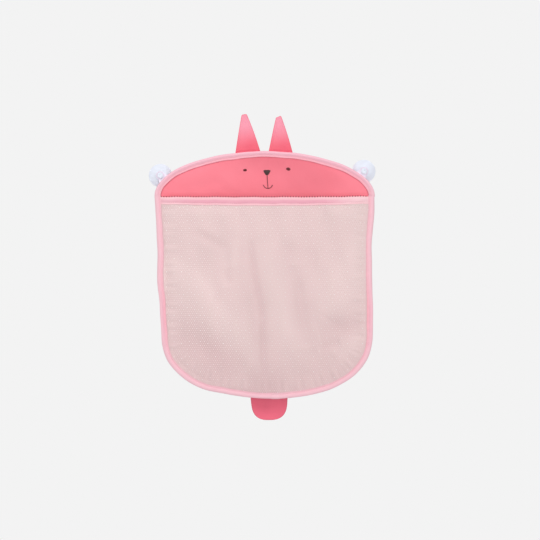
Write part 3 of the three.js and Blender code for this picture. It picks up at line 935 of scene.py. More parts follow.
@dataclass(frozen=True)
class BagShape:
    """The bag's outline and the levels of its layers.

    Attributes:
        width: Its width at the mouth.
        dome_rise: How far the dome stands above the mouth.
        side_length: The height of its straight sides.
        bottom_drop: How far the bottom hangs below them.
        bottom_width: Its width at their foot.
        bottom_square: How much the bottom's corners are squared, as a share.
        lean: How far the bottom stands to the right.
        mouth_z: The height of the pocket's mouth.
        middle_y: The plane between the front and the rear sheets.
        layer_gap: The gap between them.
        cloth: The room that a sheet of cloth has.
        slacks: Where the edge hangs in or out.
    """

    width: float = 0.380
    dome_rise: float = 0.078
    side_length: float = 0.242
    bottom_drop: float = 0.108
    bottom_width: float = 0.366
    bottom_square: float = 0.034
    lean: float = 0.0045
    mouth_z: float = -0.039
    middle_y: float = -0.0119
    layer_gap: float = 0.0003
    cloth: float = 0.0008
    slacks: tuple[Slack, ...] = (
        Slack(0.190, -0.126, 0.042, -0.0043),
        Slack(0.189, -0.195, 0.040, -0.0018),
        Slack(0.187, -0.290, 0.030, -0.0014),
        Slack(-0.183, -0.185, 0.028, 0.0020),
        Slack(-0.186, -0.122, 0.026, -0.0004),
        Slack(-0.110, -0.366, 0.030, 0.0008),
        Slack(0.120, -0.366, 0.030, 0.0010),
        Slack(-0.058, -0.385, 0.036, -0.0020),
    )

    @property
    def low_z(self) -> float:
        """Where the sides meet the bottom."""
        return self.mouth_z - self.side_length

    @property
    def front_y(self) -> float:
        """The rear face of the front sheets."""
        return self.middle_y - self.layer_gap / 2

    @property
    def rear_y(self) -> float:
        """The front face of the rear sheets."""
        return self.middle_y + self.layer_gap / 2

    def evened(self, path: Array, count: int) -> Edge:
        """Samples a closed path evenly.

        Args:
            path: The path's points as (x, z).
            count: How many samples.

        Returns:
            The edge.
        """
        loop = np.vstack([path, path[:1]])
        steps = np.linalg.norm(np.diff(loop, axis=0), axis=1)
        run = np.concatenate([[0], np.cumsum(steps)])
        along = np.linspace(0, run[-1], count, endpoint=False)
        points = np.stack([np.interp(along, run, loop[:, k]) for k in (0, 1)], axis=-1)
        onward = unit(np.roll(points, -2, axis=0) - np.roll(points, 2, axis=0))
        outward = np.stack([onward[:, 1], -onward[:, 0]], axis=-1)
        return Edge(points, outward, along, float(run[-1]))

    def edge(self, count: int) -> Edge:
        """The outline with its slack.

        Args:
            count: How many samples.

        Returns:
            The edge, from the dome's right springing.
        """
        turn = np.linspace(0, np.pi, 600, endpoint=False)
        dome = np.stack([self.width / 2 * np.cos(turn), self.dome_rise * np.sin(turn)], axis=-1)
        dome[:, 1] += self.mouth_z
        reach = 1 + self.bottom_square * np.sin(2 * turn) ** 2
        bottom = np.stack(
            [
                self.lean - self.bottom_width / 2 * reach * np.cos(turn),
                self.low_z - self.bottom_drop * reach * np.sin(turn),
            ],
            axis=-1,
        )
        share = np.linspace(0, 1, 300, endpoint=False)[:, None]
        left = [-self.width / 2, self.mouth_z] * (1 - share) + bottom[0] * share
        right_foot = np.array([self.lean + self.bottom_width / 2, self.low_z])
        right = right_foot * (1 - share) + dome[0] * share
        plain = self.evened(np.concatenate([dome, left, bottom, right]), 1600)
        waves = (0.071, 0.00018, 0.4), (0.043, 0.00012, 2.0), (0.19, 0.0003, 1.1)
        out = ripples(plain.along, *waves)
        for slack in self.slacks:
            away = np.hypot(plain.points[:, 0] - slack.x, plain.points[:, 1] - slack.z)
            out += slack.out * hump(away, 0.0, slack.reach)
        return self.evened(plain.inset(-out), count)


@dataclass(frozen=True)
class Relief:
    """A height over the bag's plane, read from an even grid.

    Attributes:
        low: The grid's lowest corner as (x, z).
        pitch: Its pitch.
        heights: Its heights, (columns, rows).
    """

    low: tuple[float, float]
    pitch: float
    heights: Array

    @cached_property
    def slopes(self) -> tuple[Array, Array]:
        """The slopes along x and z at the grid's points."""
        return tuple(np.gradient(self.heights, self.pitch))

    def _read(self, table: Array, x: Array, z: Array) -> Array:
        """Reads a table between its points.

        Args:
            table: The table, (columns, rows).
            x: Where, across.
            z: Where, upwards.

        Returns:
            The values there.
        """
        u = np.clip((x - self.low[0]) / self.pitch, 0, table.shape[0] - 1.001)
        v = np.clip((z - self.low[1]) / self.pitch, 0, table.shape[1] - 1.001)
        i, j = u.astype(int), v.astype(int)
        s, t = u - i, v - j
        below = table[i, j] * (1 - s) + table[i + 1, j] * s
        above = table[i, j + 1] * (1 - s) + table[i + 1, j + 1] * s
        return below * (1 - t) + above * t

    def height(self, x: Array, z: Array) -> Array:
        """How far the sheet stands forward at each place."""
        return self._read(self.heights, x, z)

    def normal(self, x: Array, z: Array) -> Array:
        """The direction out of the sheet's front at each place."""
        across, up = (self._read(slope, x, z) for slope in self.slopes)
        return unit(np.stack([-across, -np.ones_like(across), -up], axis=-1))


@dataclass(frozen=True)
class Fold:
    """A ridge or a valley that runs straight from one place to another.

    Attributes:
        start: Its first end as (x, z).
        end: Its other end.
        width: How far it spreads to each side.
        height: How far it stands forward, or back if negative.
    """

    start: tuple[float, float]
    end: tuple[float, float]
    width: float
    height: float

    def at(self, x: Array, z: Array) -> Array:
        """Its height at each place.

        Args:
            x: The places across.
            z: Their heights.

        Returns:
            The height at each.
        """
        run = np.subtract(self.end, self.start)
        length = float(np.hypot(*run))
        dx, dz = x - self.start[0], z - self.start[1]
        share = (dx * run[0] + dz * run[1]) / length**2
        away = (dx * run[1] - dz * run[0]) / length
        beyond = np.maximum(np.abs(share - 0.5) - 0.5, 0) * length
        taper = np.sin(np.pi * np.clip(share * 0.9 + 0.05, 0, 1)) ** 0.6
        spread = (away / self.width) ** 2 + (beyond / self.width) ** 2
        return self.height * taper * np.exp(-spread)


@dataclass
class Bag:
    """The bag's outline, read by every piece that is sewn into it.

    Attributes:
        shape: The outline and the levels of the layers.
        samples: How many samples the edge has.
        low: The lowest corner of the grid on which reliefs are sampled.
        pitch: That grid's pitch.
        counts: Its points across and up.
    """

    shape: BagShape = field(default_factory=BagShape)
    samples: int = 1440
    low: tuple[float, float] = (-0.200, -0.400)
    pitch: float = 0.002
    counts: tuple[int, int] = (201, 226)

    @cached_property
    def edge(self) -> Edge:
        """The outer edge, sampled finely."""
        return self.shape.edge(self.samples)

    @cached_property
    def grid(self) -> tuple[Array, Array, Array, Array]:
        """The grid's x and z, and its distances inside the edge and along it."""
        sides = [start + self.pitch * np.arange(n) for start, n in zip(self.low, self.counts)]
        x, z = np.meshgrid(*sides, indexing="ij")
        inside, found = self.edge.near(x, z)
        return x, z, inside, self.edge.along[found]

    def relief(self, height: Callable[[Array, Array, Array, Array], Array]) -> Relief:
        """Samples a height over the whole bag.

        Args:
            height: Gives it from x, z, the distance inside the edge and the distance along it.

        Returns:
            The relief.
        """
        return Relief(self.low, self.pitch, height(*self.grid))


# Edge binding and mouth tape


@dataclass(frozen=True)
class FoldedTape:
    """A tape folded in half lengthways over an edge.

    Attributes:
        width: From the fold to the woven edge.
        thickness: The tape's own thickness.
        slot: Half the gap between its halves.
        round: How far in the fold's rounding reaches.
        crown: How far it swells between the fold and the stitches.
        groove: Where the stitches pull it in, from the fold.
        pull: How far they do.
    """

    width: float
    thickness: float
    slot: float
    round: float
    crown: float
    groove: float
    pull: float

    @cached_property
    def distances(self) -> Array:
        """Places on one outer face, from the woven edge to the fold."""
        flat = np.linspace(0.9994, self.round / self.width, 17, endpoint=False) * self.width
        bend = self.round * (1 - np.sin(np.linspace(0, np.pi / 2, 8)))
        return np.concatenate([[self.width], flat, bend])

    def half(self, distance: Array) -> Array:
        """How far the outer face lies from the middle.

        Args:
            distance: Where, from the fold.

        Returns:
            The distance from the middle there.
        """
        full = (self.slot + self.thickness) * rounding(distance, self.round)
        swell = self.crown * np.sin(np.pi * np.clip(distance / self.groove, 0, 1))
        pulled = self.pull * hump(distance, self.groove, 0.09 * self.width)
        trim = self.thickness * 0.75 * rise(distance, self.width * 0.955, self.width)
        return full + swell - pulled - trim

    def pucker(
        self,
        distance: Array | float,
        along: Array,
        pitch: float,
        *waves: tuple[float, float, float],
    ) -> Array:
        """How the stitches and the hand ripple the tape's face.

        Args:
            distance: Where, from the fold.
            along: Where, along the tape.
            pitch: The stitches' pitch.
            waves: The length, height and phase of each loose ripple.

        Returns:
            How far the face stands out there.
        """
        tight = -0.00010 * np.cos(2 * np.pi * along / pitch)
        loose = ripples(along, *waves) * rise(distance, 0.001, 0.004)
        return hump(distance, self.groove, 0.0022) * tight + loose

    def section(self) -> tuple[Array, Array, Array]:
        """The cut end, as a loop of points.

        Returns:
            The distance from the fold, the side (-1 front, 1 back, 0 for the slot's faces) and the
            offset from the middle of each point.
        """
        outer = self.distances
        front = np.stack([outer, -np.ones_like(outer), -self.half(outer)])
        back = np.stack([outer[::-1][1:], np.ones(len(outer) - 1), self.half(outer[::-1][1:])])
        inner = np.array([self.width, self.thickness, self.thickness, self.width])
        slot = np.stack([inner, np.zeros(4), self.slot * np.array([1, 1, -1, -1])])
        return tuple(np.concatenate([front, back, slot], axis=1))


@dataclass
class EdgeBinding:
    """The tape round the bag's edge, its stitches and its lapped end.

    Attributes:
        bag: The bag that it binds.
        wardrobe: The finishes.
        tape: The tape.
        stitch_pitch: From stitch to stitch.
        stitch_length: How long a stitch is.
        thread: The sewing thread.
        lap_from: Where the lap starts, as (x, z).
        lap_length: How far it goes.
        lap_slant: How far its cut ends slant.
        lap_cloth: How much wider its slot is than the tape's, and its own thickness.
        lap_overhang: How far it stands out past the fold.
    """

    bag: Bag
    wardrobe: Wardrobe
    tape: FoldedTape = FoldedTape(0.0105, 0.0009, 0.00125, 0.0023, 0.00042, 0.0077, 0.00055)
    stitch_pitch: float = 0.0033
    stitch_length: float = 0.0025
    thread: Thread = Thread(0.00027, 0.00022)
    lap_from: tuple[float, float] = (0.0125, -0.3885)
    lap_length: float = 0.0125
    lap_slant: float = 0.0022
    lap_cloth: float = 0.0007
    lap_overhang: float = 0.0004

    def pucker(self, distance: Array | float, along: Array) -> Array:
        """How the stitches and the hand ripple the tape's face."""
        waves = (0.0131, 0.00010, 0.3), (0.0217, 0.00013, 1.9), (0.047, 0.00012, 4.0)
        return self.tape.pucker(distance, along, self.stitch_pitch, *waves)

    def painted_highlight_share(self, z: Array) -> Array:
        """The share of painted highlight at each height: none round the face, most on the sides and
        the bottom, less at the pocket's middle height.
        """
        return 0.72 * (1 - rise(z, -0.062, 0.004)) - 0.55 * hump(z, -0.245, 0.05)

    def body(self) -> Form:
        """The tape itself."""
        edge = self.bag.edge
        distance, side, offset = self.tape.section()
        along = edge.along[:, None]
        drift = ripples(along, (0.083, 0.00022, 0.0), (0.031, 0.00014, 2.2), (0.219, 0.00025, 5.1))
        depth = distance + drift * rise(distance, 0.4 * self.tape.width, self.tape.width)
        places = edge.points[:, None] - edge.outward[:, None] * depth[..., None]
        y = self.bag.shape.middle_y + offset + side * self.pucker(distance, along)
        rings = np.stack([places[..., 0], y, places[..., 1]], axis=-1)
        # The third cloth measure is the share of painted highlight.
        pale = self.painted_highlight_share(edge.points[:, 1:])
        return loft(rings, measures(y.shape, along, distance, pale), closed=True)

    def seam(self, facing: Facing) -> Form:
        """The running stitches on one face.

        Args:
            facing: Which face.

        Returns:
            The stitches.
        """
        edge, groove = self.bag.edge, self.tape.groove
        count = round(edge.length / self.stitch_pitch)
        starts = np.arange(count) * edge.length / count
        half = self.tape.half(np.array([groove]))[0]
        ends = []
        for shift in (0.0, self.stitch_length):
            along = (starts + shift) % edge.length
            x, z = edge.read(edge.inset(groove), along)
            y = self.bag.shape.middle_y + facing.value * (half + self.pucker(groove, along))
            ends.append(np.stack([x, y, z], axis=-1))
        return self.thread.stitches(*ends, facing.out)

    def lap(self) -> Form:
        """The tape's cut end, turned under and sewn over its beginning."""
        edge = self.bag.edge
        away = np.hypot(*(edge.points - self.lap_from).T)
        start = edge.along[away.argmin()]
        slot = self.tape.slot + self.lap_cloth
        tape = replace(self.tape, slot=slot, thickness=self.lap_cloth)
        distance, _, offset = tape.section()
        share = np.linspace(0, 1, 26)[:, None]
        slant = self.lap_slant * (distance / tape.width - 0.5)
        along = start + share * self.lap_length + (1 - 2 * share) * slant
        line, out = edge.read(edge.points, along), edge.read(edge.outward, along)
        depth = distance - self.lap_overhang
        y = self.bag.shape.middle_y + offset * (0.93 + 0.07 * np.sin(np.pi * share) ** 0.3)
        rings = np.stack([line[0] - out[0] * depth, y, line[1] - out[1] * depth], axis=-1)
        # The lap carries a share of 0.9 of painted highlight.
        return loft(rings, measures(y.shape, along, distance, 0.9), closed=False)

    def build(self) -> None:
        """Makes the binding, its seams and its lap."""
        body = self.body().piece("binding", self.wardrobe.binding, Slot.BINDING)
        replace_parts(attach(body, Body.BAG.value), "edge_binding")
        for facing in Facing:
            name = f"binding_seam_{facing.name.lower()}"
            seam = self.seam(facing).piece(name, self.wardrobe.pale_thread, Slot.BINDING)
            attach(seam, Body.BAG.value)
        lap = self.lap().piece("binding_lap", self.wardrobe.binding, Slot.BINDING)
        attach(lap, Body.BAG.value)


@dataclass
class Pocket:
    """The front net's shape, and the mouth it leaves open.

    Attributes:
        bag: The bag.
        mouth_depth: How far its mouth stands open.
        belly_depth: How much further its belly stands forward.
        border: How far inside the edge it begins to stand forward.
        fullness: The power of its rounding towards the sides: less is blunter.
        folds: Its ridges and creases.
    """

    bag: Bag
    mouth_depth: float = 0.022
    belly_depth: float = 0.018
    border: float = 0.0128
    fullness: float = 0.75
    folds: tuple[Fold, ...] = (
        Fold((-0.235, -0.130), (-0.100, -0.215), 0.027, 0.0050),
        Fold((-0.160, -0.163), (-0.008, -0.328), 0.025, 0.0044),
        Fold((-0.158, -0.266), (-0.050, -0.342), 0.029, -0.0052),
        Fold((-0.172, -0.198), (-0.158, -0.226), 0.013, -0.0016),
        Fold((-0.026, -0.122), (-0.005, -0.245), 0.0070, -0.0040),
        Fold((-0.006, -0.230), (-0.003, -0.348), 0.0070, -0.0036),
        Fold((-0.026, -0.120), (0.000, -0.345), 0.021, -0.0018),
        Fold((-0.004, -0.135), (0.060, -0.335), 0.021, 0.0034),
        Fold((-0.120, -0.100), (-0.066, -0.130), 0.009, -0.0022),
        Fold((-0.050, -0.116), (-0.056, -0.164), 0.008, 0.0022),
        Fold((-0.070, -0.165), (-0.060, -0.192), 0.008, -0.0016),
        Fold((0.020, -0.128), (0.088, -0.150), 0.020, -0.0022),
        Fold((0.052, -0.165), (0.068, -0.292), 0.016, -0.0036),
        Fold((0.195, -0.095), (0.108, -0.238), 0.026, 0.0054),
        Fold((0.096, -0.274), (0.172, -0.258), 0.019, -0.0046),
        Fold((0.094, -0.302), (0.128, -0.290), 0.012, -0.0024),
        Fold((0.124, -0.320), (0.166, -0.284), 0.014, 0.0030),
        Fold((0.108, -0.062), (0.182, -0.074), 0.019, 0.0036),
        Fold((-0.172, -0.066), (-0.050, -0.070), 0.014, 0.0018),
        Fold((-0.030, -0.362), (0.034, -0.367), 0.016, -0.0042),
    )

    @cached_property
    def relief(self) -> Relief:
        """How far the net stands forward of the bound edge."""
        return self.bag.relief(self._height)

    def plain(self, x: Array, z: Array) -> Array:
        """The net's fullness without its folds.

        Args:
            x: The places across.
            z: Their heights.

        Returns:
            How far it stands forward at each.
        """
        shape = self.bag.shape
        foot = shape.low_z - shape.bottom_drop + self.border
        down = np.clip((shape.mouth_z - z) / shape.side_length, 0, 1)
        half = (shape.width + (shape.bottom_width - shape.width) * down) / 2 - self.border
        below = np.maximum(shape.low_z - z, 0) / (shape.low_z - foot)
        half = half * np.sqrt(np.maximum(0, 1 - below**2))
        across = np.minimum(1, np.abs(x - shape.lean * down) / np.maximum(half, 1e-6))
        up = np.clip((z - foot) / (shape.mouth_z - foot), 0, 1)
        hang = self.mouth_depth * up + self.belly_depth * np.sin(np.pi * up)
        return hang * (1 - across**2) ** self.fullness

    def _height(self, x: Array, z: Array, inside: Array, along: Array) -> Array:
        """The net's height from its fullness, its folds and the gathers at its seam.

        Args:
            x: The places across.
            z: Their heights.
            inside: Their distances inside the edge.
            along: Their distances along it.

        Returns:
            The height at each.
        """
        full = self.plain(x, z)
        held = rise(full, 0.0, 0.012)
        for fold in self.folds:
            full = full + held * fold.at(x, z)
        seam = rise(inside, 0.0095, 0.014) * (1 - rise(inside, 0.016, 0.040))
        waves = (0.0123, 0.00030, 0.2), (0.0191, 0.00035, 2.4), (0.0287, 0.00030, 4.1)
        drape = ripples(x + 0.35 * z, (0.047, 0.00045, 1.0))
        drape = drape + ripples(x - 0.5 * z, (0.071, 0.0005, 2.5))
        return np.maximum(full + seam * (0.0004 + ripples(along, *waves)) + held * drape, 0)

    def density_and_shade(self, x: Array, z: Array) -> Array:
        """How dense the net is, with painted shade and light: light on a ridge, dense and shaded in
        a crease and towards the foot.

        Args:
            x: The places across.
            z: Their heights.

        Returns:
            From 0, light, to 1, dense and shaded, at each.
        """
        shape = self.bag.shape
        # Painted shade towards the foot and in creases, painted light on ridges; the strands also
        # crowd where this is high.
        foot = 1 - rise(z, shape.low_z - shape.bottom_drop, shape.low_z + 0.02)
        crease = -sum(fold.at(x, z) for fold in self.folds) / 0.006
        return np.clip(0.20 + 0.40 * crease + 0.36 * foot, 0, 1)

    def crowding(self, x: Array, z: Array) -> Array:
        """How much the strands spread where the net is drawn in, at its seam and in a crease."""
        inside, _ = self.bag.edge.near(x, z)
        return 1 + 0.10 * np.maximum(1 - rise(inside, 0.018, 0.060), self.density_and_shade(x, z))


@dataclass
class MouthTape:
    """The folded tape along the pocket's mouth, and the stitches on it.

    Attributes:
        bag: The bag.
        pocket: The pocket whose mouth it binds.
        wardrobe: The finishes.
        tape: The tape.
        reach: Half its length.
        stations: How many rings it has.
        sag: How much lower its middle hangs.
        stitch_pitch: From stitch to stitch.
        stitch_length: How long a stitch is.
        thread: The seam's thread.
        dot_pitch: From one overcast stitch to the next.
        dot: Their thread.
    """

    bag: Bag
    pocket: Pocket
    wardrobe: Wardrobe
    tape: FoldedTape = FoldedTape(0.0135, 0.0009, 0.0007, 0.0021, 0.0008, 0.0105, 0.0005)
    reach: float = 0.1815
    stations: int = 420
    sag: float = 0.00077
    stitch_pitch: float = 0.0033
    stitch_length: float = 0.0025
    thread: Thread = Thread(0.00027, 0.00022)
    dot_pitch: float = 0.00465
    dot: Thread = Thread(0.0009, 0.0003)

    def place(self, x: Array, distance: Array, offset: Array) -> Array:
        """Points of the tape.

        Args:
            x: How far across.
            distance: From the fold, down the tape.
            offset: From the net's middle, towards the back.

        Returns:
            The points.
        """
        shape = self.bag.shape
        arch = 1 - (x / self.reach) ** 2
        drop = 0.0009 + distance * (0.94 + 0.16 * arch) + self.sag * arch
        drop = drop + ripples(x, (0.061, 0.00025, 0.7), (0.023, 0.00012, 2.9))
        z = shape.mouth_z - (drop - 0.0007 * rise(x, 0.09, 0.17))
        bulge = self.pocket.relief.height(x, z)
        end = 1 - rise(np.abs(x), self.reach - 0.012, self.reach)
        forward = 0.0004 + bulge + 0.0012 * (1 - rise(bulge, 0.0, 0.004)) * end
        y = shape.front_y - forward + offset * (0.45 + 0.55 * end)
        return np.stack([np.broadcast_to(x, z.shape), y, z], axis=-1)

    def body(self) -> Form:
        """The tape itself."""
        distance, side, offset = self.tape.section()
        x = np.linspace(-self.reach, self.reach, self.stations)[:, None]
        waves = (0.017, 0.00012, 0.3), (0.029, 0.00016, 1.2), (0.051, 0.0002, 3.3)
        swell = side * self.tape.pucker(distance, x, self.stitch_pitch, *waves)
        rings = self.place(x, np.broadcast_to(distance, swell.shape), offset + swell)
        # The third cloth measure: a painted highlight towards both ends of the tape, stronger on
        # the right.
        pale = 0.35 * (1 - rise(x, -0.18, -0.12)) + 0.8 * rise(x, 0.09, 0.17)
        return loft(rings, measures(swell.shape, x, distance, pale), closed=False)

    def row(self, distance: float) -> Form:
        """A row of running stitches on the front.

        Args:
            distance: Its distance from the fold.

        Returns:
            The stitches.
        """
        starts = np.arange(-self.reach + 0.004, self.reach - 0.006, self.stitch_pitch)
        lift = -self.tape.half(np.array([distance]))[0]
        ends = [
            self.place(starts + shift, np.full(starts.shape, distance), np.full(starts.shape, lift))
            for shift in (0.0, self.stitch_length)
        ]
        return self.thread.stitches(*ends, Facing.FRONT.out)

    def dots(self) -> Form:
        """The overcast stitches that wrap the fold, dark so that they also paint the shadow line
        between the tape and the panel.
        """
        x = np.arange(-self.reach + 0.003, self.reach - 0.003, self.dot_pitch)
        low = self.place(x, np.full(x.shape, 0.0007), np.full(x.shape, -0.0016))
        high = self.place(x, np.full(x.shape, -0.0016), np.full(x.shape, -0.0004))
        return self.dot.stitches(low, high, np.array([0.0, -0.8, 0.6]))

    def build(self) -> None:
        """Makes the tape and its stitches."""
        body = self.body().piece("mouth_binding", self.wardrobe.mouth, Slot.BINDING)
        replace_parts(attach(body, Body.BAG.value), "mouth_tape")
        for form, name, thread in (
            (self.row(self.tape.groove), "mouth_seam", self.wardrobe.pale_thread),
            (self.dots(), "mouth_overcast", self.wardrobe.rose_thread_and_shadow),
        ):
            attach(form.piece(name, thread, Slot.BINDING), Body.BAG.value)


# Nets


@dataclass(frozen=True)
class Knit:
    """A knitted net of six-sided holes, each strand a low ridge with a flat back.

    Attributes:
        pitch: From hole to hole.
        strand: A strand's width.
        thickness: How far a strand's ridge stands off its back.
    """

    pitch: float = 0.00376
    strand: float = 0.00229
    thickness: float = 0.0005

    # Each strand that leaves a junction whose strands point up, lower left and lower right: the
    # step to the junction at its other end, and the corners on its left and right at both ends.
    STRANDS = (
        ((0, 2), 1, 0, 1, 2),
        ((-1, -1), 2, 1, 2, 0),
        ((1, -1), 0, 2, 0, 1),
    )
    CORNERS = np.array([(0, 2), (1, 1), (1, -1), (0, -2), (-1, -1), (-1, 1)])
    COLUMN = 100000  # what one column adds to a junction's key: more than a net has rows

    def holes(
        self,
        keep: Callable[[Array, Array], Array],
        low: tuple[float, float],
        high: tuple[float, float],
    ) -> Array:
        """The holes that lie where the net is wanted.

        Args:
            keep: Says for places (x, z) whether a hole there belongs to the net.
            low: The lowest corner to try.
            high: The highest corner to try.

        Returns:
            The holes' places in half pitches and half corner radii.
        """
        step_x, step_z = self.steps
        rows = np.arange(math.floor(low[1] / step_z / 3), math.ceil(high[1] / step_z / 3))
        columns = np.arange(math.floor(low[0] / step_x / 2), math.ceil(high[0] / step_x / 2))
        row, column = np.meshgrid(rows, columns, indexing="ij")
        places = np.stack([2 * column + row % 2, 3 * row], axis=-1).reshape(-1, 2)
        return places[keep(places[:, 0] * step_x, places[:, 1] * step_z)]

    @property
    def steps(self) -> tuple[float, float]:
        """The grid's units: half a pitch across and half a corner radius up."""
        return self.pitch / 2, self.pitch / math.sqrt(3) / 2

    def form(
        self,
        holes: Array,
        lay_on: Callable[[Array, Array, Array], tuple[Array, Array]],
        crowding: Callable[[Array, Array], Array],
    ) -> Form:
        """Knits the net.

        Args:
            holes: The holes' places on the grid.
            lay_on: Puts places (x, z), a height off the net's back, into space, and gives their
                third cloth measure.
            crowding: How many times its own width a strand has at each place.

        Returns:
            The net.
        """
        junctions = np.unique((holes[:, None] + self.CORNERS).reshape(-1, 2), axis=0)
        keys = junctions[:, 0] * self.COLUMN + junctions[:, 1]
        order = np.argsort(keys)
        upward = junctions[:, 1] % 3 == 2
        first = np.where(upward, 30, 90)
        angles = np.radians(first[:, None] + np.array([0, 120, 240]))
        step_x, step_z = self.steps
        width = self.strand * crowding(junctions[:, 0] * step_x, junctions[:, 1] * step_z)
        reach = width[:, None] / 2 / math.sin(math.radians(60))
        x = np.repeat(junctions[:, :1] * step_x, 4, axis=1)
        z = np.repeat(junctions[:, 1:] * step_z, 4, axis=1)
        x[:, :3] += reach * np.cos(angles)
        z[:, :3] += reach * np.sin(angles)
        height = np.broadcast_to([0.0, 0.0, 0.0, self.thickness], x.shape)
        points, third = lay_on(x.ravel(), z.ravel(), height.ravel())
        lay = np.stack([x.ravel(), z.ravel(), third], axis=-1)
        at = 4 * np.arange(len(junctions))
        quads, triangles = [], [np.stack([at, at + 2, at + 1], axis=-1)]
        here = np.flatnonzero(upward)
        met = np.zeros((3, len(junctions)), bool)
        for k, (step, left, right, far_left, far_right) in enumerate(self.STRANDS):
            wanted = keys[here] + step[0] * self.COLUMN + step[1]
            spot = np.minimum(np.searchsorted(keys[order], wanted), len(keys) - 1)
            there = order[spot]
            whole = keys[there] == wanted
            a, b = at[here[whole]], at[there[whole]]
            met[k, there[whole]] = True
            quads.append(np.stack([a + left, a + 3, b + 3, b + far_left], axis=-1))
            quads.append(np.stack([a + 3, a + right, b + far_right, b + 3], axis=-1))
            quads.append(np.stack([a + left, b + far_left, b + far_right, a + right], axis=-1))
            loose = at[here[~whole]]
            triangles.append(np.stack([loose + left, loose + 3, loose + right], axis=-1))
            alone = at[np.flatnonzero(~upward & ~met[k])]
            triangles.append(np.stack([alone + far_right, alone + 3, alone + far_left], axis=-1))
        return Form(points, (np.concatenate(quads), np.concatenate(triangles)), lay).outward()


@dataclass
class Nets:
    """The back net and the slack front net.

    Attributes:
        bag: The bag.
        pocket: The front net's shape.
        wardrobe: The finishes.
        knit: The knit of both.
        hidden: How far inside the edge a hole has to lie to be kept.
        fuller: How many times its own width a strand of the back net has.
        ridge: The angle between faces above which their edge is shaded as an edge.
        flat: The size that each is cut to. It is not used.
    """

    bag: Bag
    pocket: Pocket
    wardrobe: Wardrobe
    knit: Knit = Knit()
    hidden: float = 0.0064
    fuller: float = 1.12
    ridge: float = math.radians(75)
    flat: tuple[float, float] = (0.374, 0.346)

    def holes(self, top: float) -> Array:
        """The holes below a level, out to where the binding hides the net's edge."""
        return self.knit.holes(lambda x, z: self.wanted(x, z, top), (-0.19, -0.39), (0.19, top))

    def holes_across(self, top: float) -> Array:
        """The same for a net that is cut across the knit, so that its rows run up and down."""
        return self.knit.holes(lambda z, x: self.wanted(x, z, top), (-0.39, -0.19), (top, 0.19))

    def wanted(self, x: Array, z: Array, top: float) -> Array:
        """Whether a hole at each place belongs to a net that reaches up to a level."""
        inside, _ = self.bag.edge.near(x, z)
        return (inside > self.hidden) & (z < top)

    def area(self, holes: Array) -> float:
        """The area that a net with so many holes is cut to."""
        return len(holes) * self.knit.pitch**2 * math.sqrt(3) / 2

    def even(self, z: Array, x: Array) -> Array:
        """The back net's strands, a little fuller than the stretched front net's."""
        return np.full_like(x, self.fuller)

    @cached_property
    def sway(self) -> Relief:
        """How far the back net hangs forward, clear of the front net."""
        return self.bag.relief(self._sway)

    def _sway(self, x: Array, z: Array, inside: Array, along: Array) -> Array:
        """The back net's sway.

        Args:
            x: The places across.
            z: Their heights.
            inside: Their distances inside the edge.
            along: Their distances along it.

        Returns:
            How far forward it hangs at each.
        """
        free = rise(inside, 0.011, 0.035) * (1 - rise(z, -0.075, -0.045))
        wave = ripples(x + 0.3 * z, (0.083, 0.0006, 0.5))
        wave = wave + ripples(z - 0.2 * x, (0.11, 0.0006, 1.4))
        return free * wave - 0.0022 * free

    def in_front(self, x: Array, z: Array, height: Array) -> tuple[Array, Array]:
        """Puts the front net's points into space.

        Args:
            x: Their places across.
            z: Their heights.
            height: How far each stands off the net's back.

        Returns:
            The points, and how dense and shaded the net looks at each.
        """
        relief = self.pocket.relief
        y = self.bag.shape.front_y - 0.0001 - relief.height(x, z)
        points = np.stack([x, y, z], axis=-1) + relief.normal(x, z) * height[:, None]
        return points, self.pocket.density_and_shade(x, z)

    def behind(self, z: Array, x: Array, height: Array) -> tuple[Array, Array]:
        """Puts the back net's points into space. It is cut across the knit, so z comes first.

        Args:
            z: Their heights.
            x: Their places across.
            height: How far each stands off the net's back.

        Returns:
            The points, and 0 for each, because no painted shade lies on it.
        """
        shape = self.bag.shape
        tuck = rise(z, shape.mouth_z - 0.006, shape.mouth_z)
        y = shape.rear_y + 0.0007 - 0.0006 * tuck - self.sway.height(x, z) - height
        return np.stack([x, y, z], axis=-1), np.zeros_like(x)

    def build(self) -> None:
        """Makes both nets."""
        front = self.holes(self.bag.shape.mouth_z - 0.0035)
        back = self.holes_across(self.bag.shape.mouth_z + 0.002)
        for name, node, holes, lay_on, crowding in (
            ("front_net", "pocket_net", front, self.in_front, self.pocket.crowding),
            ("rear_net", "back_net", back, self.behind, self.even),
        ):
            form = self.knit.form(holes, lay_on, crowding)
            piece = form.piece(name, self.wardrobe.net, Slot.NET, sharp=self.ridge)
            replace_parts(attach(piece, Body.BAG.value), node)
            area = self.area(holes)


# Cloth panels


